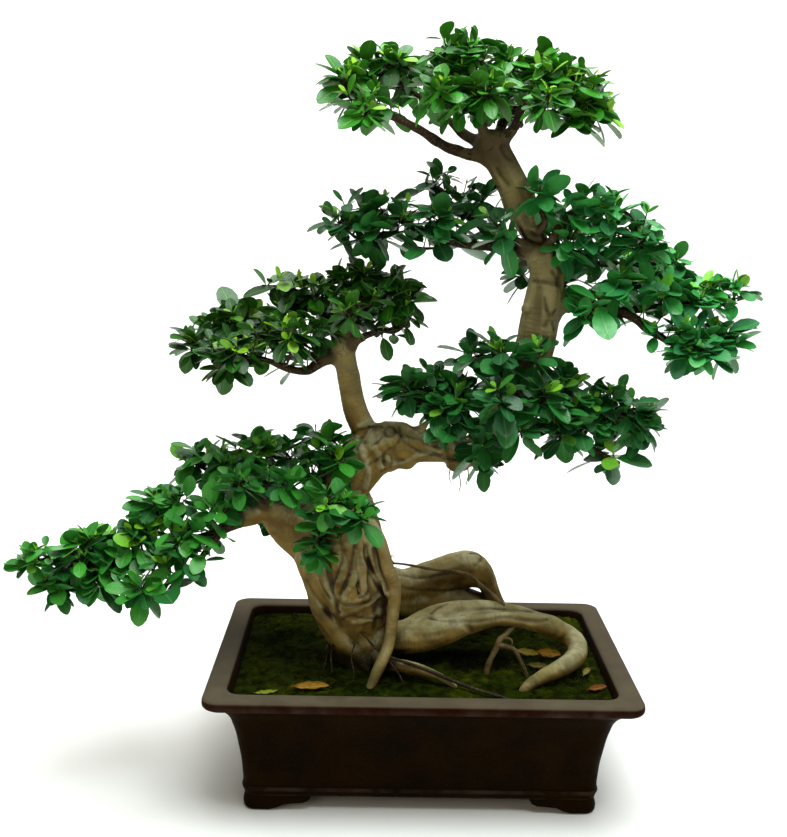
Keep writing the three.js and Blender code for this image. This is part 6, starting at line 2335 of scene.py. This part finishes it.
@dataclass(frozen=True)
class FallenLeaf:
    """A dead leaf on the moss: its solid, its place, its turn in degrees, its length, its width,
    the rise of its sides, the rise of one side over the other and its colour."""

    name: str
    place: tuple[float, float]
    turn: float
    length: float
    width: float
    curl: float
    lean: float
    color: str
    rows: int = 22
    columns: int = 11
    thickness: float = 0.7

    def outline(self, way: Array) -> Array:
        """Half the width as a share: the product of rising and falling powers of the way along
        the blade, with a stalk before it."""
        blade = np.clip((way - 0.1) / 0.9, 0.0, 1.0)
        width = 1.58875 * blade**0.62 * (1.0 - blade) ** 0.72
        return np.maximum(width, 0.05 * (1.15 - blade))

    def build(self, bed: MossBed, finish: bpy.types.Material) -> None:
        """Builds the blade on the moss, in the place of its solid.

        A point is its way along the midrib and its share of the half width across, both bent: the
        sides rise with the power 1.6 of the share, and waves run along the edges.
        """
        way = np.linspace(0.0, 1.0, self.rows)[:, None]
        share = np.linspace(-1.0, 1.0, self.columns)[None, :]
        half = self.outline(way) * self.width / 2
        along = (way - 0.5) * self.length + 0.0 * share
        wave = 1.0 + 0.05 * np.sin(way * 31 + 2 * self.turn) * np.abs(share)
        across = half * share * wave
        lift = self.curl * np.abs(share) ** 1.6 * np.sqrt(half * 2 / self.width)
        lift = lift + 0.5 * np.sin(way * 19 + self.turn) * np.abs(share) + 1.2 * (2 * way - 1) ** 2
        angle = math.radians(self.turn)
        x = self.place[0] + along * math.cos(angle) - across * math.sin(angle)
        y = self.place[1] + along * math.sin(angle) + across * math.cos(angle)
        lift = lift + self.lean * (across + self.width / 2)
        ground = float(bed.height(x, y).max())
        z = 0.5 * (ground + bed.level(x, y)) + 0.5 + lift
        top = np.stack([x, y, z + self.thickness], axis=-1).reshape(-1, 3)
        low = np.stack([x, y, z], axis=-1).reshape(-1, 3)
        count = len(top)
        number = np.arange(count).reshape(self.rows, self.columns)
        border = rim_of(number)
        after = np.roll(border, -1)
        quads = grid_faces(self.rows, self.columns, False)
        sides = np.stack([border, border + count, after + count, after], axis=-1)
        faces = [quads[:, ::-1], quads + count, sides[:, ::-1]]
        values = {
            "across": np.tile(np.broadcast_to(share, along.shape).reshape(-1), 2),
            "ahead": np.tile(np.broadcast_to(way, along.shape).reshape(-1), 2),
        }
        shell = Shell(np.vstack([top, low]), faces, [0] * 3, values)
        make_piece(f"{self.name}_blade", shell, [finish], (self.name,), sharp_angle=70.0)


FALLEN_LEAVES: tuple[FallenLeaf, ...] = (
    FallenLeaf("fallen_yellow_leaf", (-218, -134), 14, 34, 19, 1.5, 0.0, "6f7f06"),
    FallenLeaf("fallen_curled_leaf", (-157, -126), 6, 54, 22, 4, 0.35, "866208"),
    FallenLeaf("fallen_brown_leaf_left", (160, -6), -24, 38, 22, 2, 0.35, "94821a"),
    FallenLeaf("fallen_brown_leaf_right", (192, -8), -14, 38, 24, 2, 0.5, "987006"),
    FallenLeaf("fallen_brown_leaf_front", (171, -46), -8, 32, 18, 2, 0.35, "4c4206"),
    FallenLeaf("fallen_pale_leaf", (240, -62), 60, 30, 15, 5, 0.2, "7c7530"),
    FallenLeaf("fallen_red_leaf", (246, -112), 24, 34, 17, 3, 0.3, "6a3a06"),
)


@dataclass
class FineRoots:
    """The thin roots, aerial roots and dead twigs that are too fine for the wood's solid.

    A route is x, y, z and radius. Each begins and ends in the wood, the soil or a thicker root. The
    dark ones lie near the soil.
    """

    sides: int = 10
    step: float = 3.0
    wander: float = 0.5
    routes: tuple[Route, ...] = (
        (
            (-62, 58, 296, 1.4), (-41, 50, 301, 1.8), (-19, 50, 299, 2.0), (9, 50, 294, 2.2),
            (37, 46, 292, 2.3), (58, 46, 290, 2.4), (72, 44, 287, 2.5), (83, 40, 281, 2.8),
            (93, 30, 273, 3.2), (106, 15, 266, 3.6), (118, 0, 260, 3.6), (127, -12, 250, 3.4),
        ),
        ((-41, 50, 301, 1.6), (-46, 50, 308, 1.1), (-44, 48, 314, 0.8), (-41, 47, 312, 0.5)),
        (
            (137, -38, 242, 4.6), (132, -42, 238, 4.2), (123, -48, 230, 3.8), (113, -54, 224, 4.2),
            (109, -58, 214, 4.6), (102, -62, 201, 4.4), (96, -66, 187, 4.6), (93, -68, 166, 3.6),
        ),
        (
            (109, -57, 217, 4.2), (122, -60, 216, 3.6), (134, -62, 212, 3.3), (143, -64, 196, 3.1),
            (152, -68, 176, 3.4), (155, -69, 162, 2.6),
        ),
        ((118, -52, 225, 2.4), (127, -55, 226, 2.0), (131, -57, 221, 1.3), (129, -58, 216, 0.6)),
        (
            (46, -4, 466, 1.2), (50, -8, 457, 0.9), (52, -9, 444, 0.8), (50, -7, 430, 0.6),
            (52, -6, 419, 0.3),
        ),
        ((62, -2, 468, 1.0), (63, -7, 456, 0.8), (60, -8, 442, 0.6), (61, -9, 432, 0.3)),
        ((36, -6, 464, 0.9), (35, -10, 453, 0.7), (39, -11, 444, 0.4)),
    )  # fmt: skip
    dark_routes: tuple[Route, ...] = (
        (
            (-98, -60, 246, 1.4), (-80, -66, 228, 1.6), (-64, -72, 214, 1.8), (-48, -82, 208, 2.0),
            (-20, -94, 203, 2.2), (4, -100, 197, 2.4), (30, -108, 190, 2.6), (56, -120, 184, 2.5),
            (82, -132, 180, 2.3), (108, -142, 177, 2.0), (124, -149, 174, 1.6), (133, -153, 168, 1.2),
        ),
        ((-48, -84, 202, 1.3), (-36, -92, 190, 1.3), (-28, -96, 176, 1.4), (-26, -97, 166, 1.2)),
        ((-126, -42, 216, 1.4), (-131, -54, 200, 1.4), (-130, -64, 185, 1.5), (-128, -68, 166, 1.2)),
        ((-96, -62, 222, 1.0), (-101, -76, 203, 0.9), (-97, -88, 187, 1.0), (-98, -94, 167, 0.8)),
        ((-134, -40, 206, 1.2), (-138, -52, 190, 1.2), (-141, -58, 176, 1.3), (-141, -60, 164, 1.0)),
    )  # fmt: skip

    def build(self, bark: bpy.types.Material, dark: bpy.types.Material) -> None:
        """Builds all of them as tubes that wander a little."""
        shells = []
        for order, route in enumerate((*self.routes, *self.dark_routes)):
            path = smooth_route(np.array(route, dtype=float), self.step)
            drift = [value_noise(path[:, :3], 9.0, 60 + 3 * order + n) for n in range(3)]
            grip = smoothstep(np.arange(len(path)), 0, 3)[:, None]
            path[:, :3] += self.wander * grip * np.stack(drift, axis=-1)
            swell = 1.0 + 0.14 * value_noise(path[:, :3], 6.0, 90 + order)
            finish = int(order >= len(self.routes))
            shells.append(tubes(path[None, :, :3], (path[:, 3] * swell)[None], self.sides, finish))
        make_piece("fine_roots", join_shells(shells), [bark, dark])


@dataclass(frozen=True)
class Lamp:
    """A square lamp: its name, place, target, size, power and tint."""

    name: str
    place: tuple[float, float, float]
    target: tuple[float, float, float]
    size: float
    power: float
    tint: tuple[float, float, float]


@dataclass
class Studio:
    """The pale floor that curves up behind, the soft lights and the camera.

    Places are in metres from the middle of the tray's footprint.
    """

    floor_reach: float = 9.0
    wall_distance: float = 3.6
    wall_height: float = 6.0
    bend: float = 1.6
    world_color: tuple[float, float, float] = (1.0, 0.92, 0.78)
    world_strength: float = 0.14
    view: Viewpoint = Viewpoint()
    lamps: tuple[Lamp, ...] = (
        Lamp("sky_panel", (0.3, -0.45, 2.9), (0.0, 0.0, 0.4), 2.0, 116.0, (0.93, 1.0, 1.0)),
        Lamp("front_panel", (-1.5, -3.0, 1.6), (0.0, 0.0, 0.5), 1.8, 20.0, (1.0, 0.86, 0.66)),
        Lamp("side_panel", (2.5, -1.0, 1.9), (0.0, 0.0, 0.5), 1.4, 17.0, (0.98, 1.0, 0.96)),
        Lamp("wall_wash", (0.0, 1.2, 3.2), (0.0, 3.6, 0.8), 2.4, 120.0, (1.0, 1.0, 1.0)),
    )

    def floor(self, paper: bpy.types.Material) -> None:
        """Builds the floor: level, then a quarter circle, then an upright wall, all along X."""
        turn = np.linspace(0.0, math.pi / 2, 17)
        start = self.wall_distance - self.bend
        y = np.concatenate([[-self.floor_reach], start + self.bend * np.sin(turn), [self.wall_distance]])
        z = np.concatenate([[0.0], self.bend * (1 - np.cos(turn)), [self.wall_height]])
        x = np.array([-self.floor_reach, self.floor_reach])
        points = np.stack([np.repeat(x, len(y)), np.tile(y, 2), np.tile(z, 2)], axis=-1)
        mesh = bpy.data.meshes.new("studio_floor")
        faces = grid_faces(2, len(y), False)
        mesh.from_pydata((points + tray_middle()).tolist(), [], faces.tolist())
        mesh.materials.append(paper)
        mesh.polygons.foreach_set("use_smooth", np.ones(len(faces), dtype=bool))
        mesh.update()
        floor = bpy.data.objects.new("studio_floor", mesh)
        bpy.context.scene.collection.objects.link(floor)

    def light(self) -> None:
        """Lights the scene with a pale surround and square panels, each turned to its target."""
        world = bpy.data.worlds.new("studio_surround")
        world.use_nodes = True
        surround = world.node_tree.nodes["Background"]
        surround.inputs["Color"].default_value = (*self.world_color, 1.0)
        surround.inputs["Strength"].default_value = self.world_strength
        bpy.context.scene.world = world
        for lamp in self.lamps:
            light = bpy.data.lights.new(lamp.name, "AREA")
            light.shape = "SQUARE"
            light.size = lamp.size
            light.energy = lamp.power
            light.color = lamp.tint
            panel = bpy.data.objects.new(lamp.name, light)
            panel.location = Vector(tray_middle()) + Vector(lamp.place)
            panel.rotation_mode = "QUATERNION"
            aim = Vector(lamp.target) - Vector(lamp.place)
            panel.rotation_quaternion = aim.to_track_quat("-Z", "Y")
            bpy.context.scene.collection.objects.link(panel)

    def camera(self) -> None:
        """Sets up the camera at the viewpoint."""
        data = bpy.data.cameras.new("camera")
        data.lens = self.view.lens
        data.sensor_width = self.view.sensor
        data.clip_end = 100.0
        camera = bpy.data.objects.new("camera", data)
        right, top, ahead = (Vector(axis) for axis in self.view.axes())
        turn = Matrix((right, top, -ahead)).transposed()
        place = Vector(tray_middle()) + Vector(self.view.place)
        camera.matrix_world = Matrix.Translation(place) @ turn.to_4x4()
        bpy.context.scene.collection.objects.link(camera)
        bpy.context.scene.camera = camera

    def build(self, paper: bpy.types.Material) -> None:
        """Builds the floor, the lights and the camera."""
        self.floor(paper)
        self.light()
        self.camera()
        bpy.context.scene.view_settings.view_transform = "Standard"


def dress_screens(finish: bpy.types.Material) -> None:
    """Gives the two packed drain screens their finish."""
    for name in ("drain_screen_left", "drain_screen_right"):
        screen = bpy.data.objects[name]
        for place in screen.material_slots:
            place.material = finish


def main() -> None:
    """Builds the tree in its tray, and the studio round it."""
    logging.basicConfig(level=logging.INFO, format="%(message)s")
    effects = Effects(mottle_group(), shade_and_grime_group(), relief_group())
    Studio().build(BackdropFinish().build(effects))
    bark = BarkFinish().build(effects)
    twig = TwigFinish().build(effects)
    greens = [kind.finish.build(effects) for kind in LEAF_KINDS]
    Wood().build(bark)
    root_bark = TwigFinish(name="thin_root_bark", brown="665732", dark="3a2f18").build(effects)
    damp_bark = TwigFinish(name="damp_root_bark", brown="2c2412").build(effects)
    FineRoots().build(root_bark, damp_bark)
    for seed, branch in enumerate(BRANCHES):
        pairs = zip(LEAF_KINDS, greens)
        kind, green = next(pair for pair in pairs if branch.name.startswith(pair[0].branches))
        Foliage(branch, seed, kind.length).build(twig, green, kind.slot)
    tray = Tray()
    tray.build(ClayFinish().build(effects))
    dress_screens(MeshFinish().build(effects))
    bed = MossBed(tray)
    bed.build(MossFinish().build(effects))
    for leaf in FALLEN_LEAVES:
        leaf.build(bed, DryLeafFinish(name=leaf.name, color=leaf.color).build(effects))


if __name__ == "__main__":
    main()
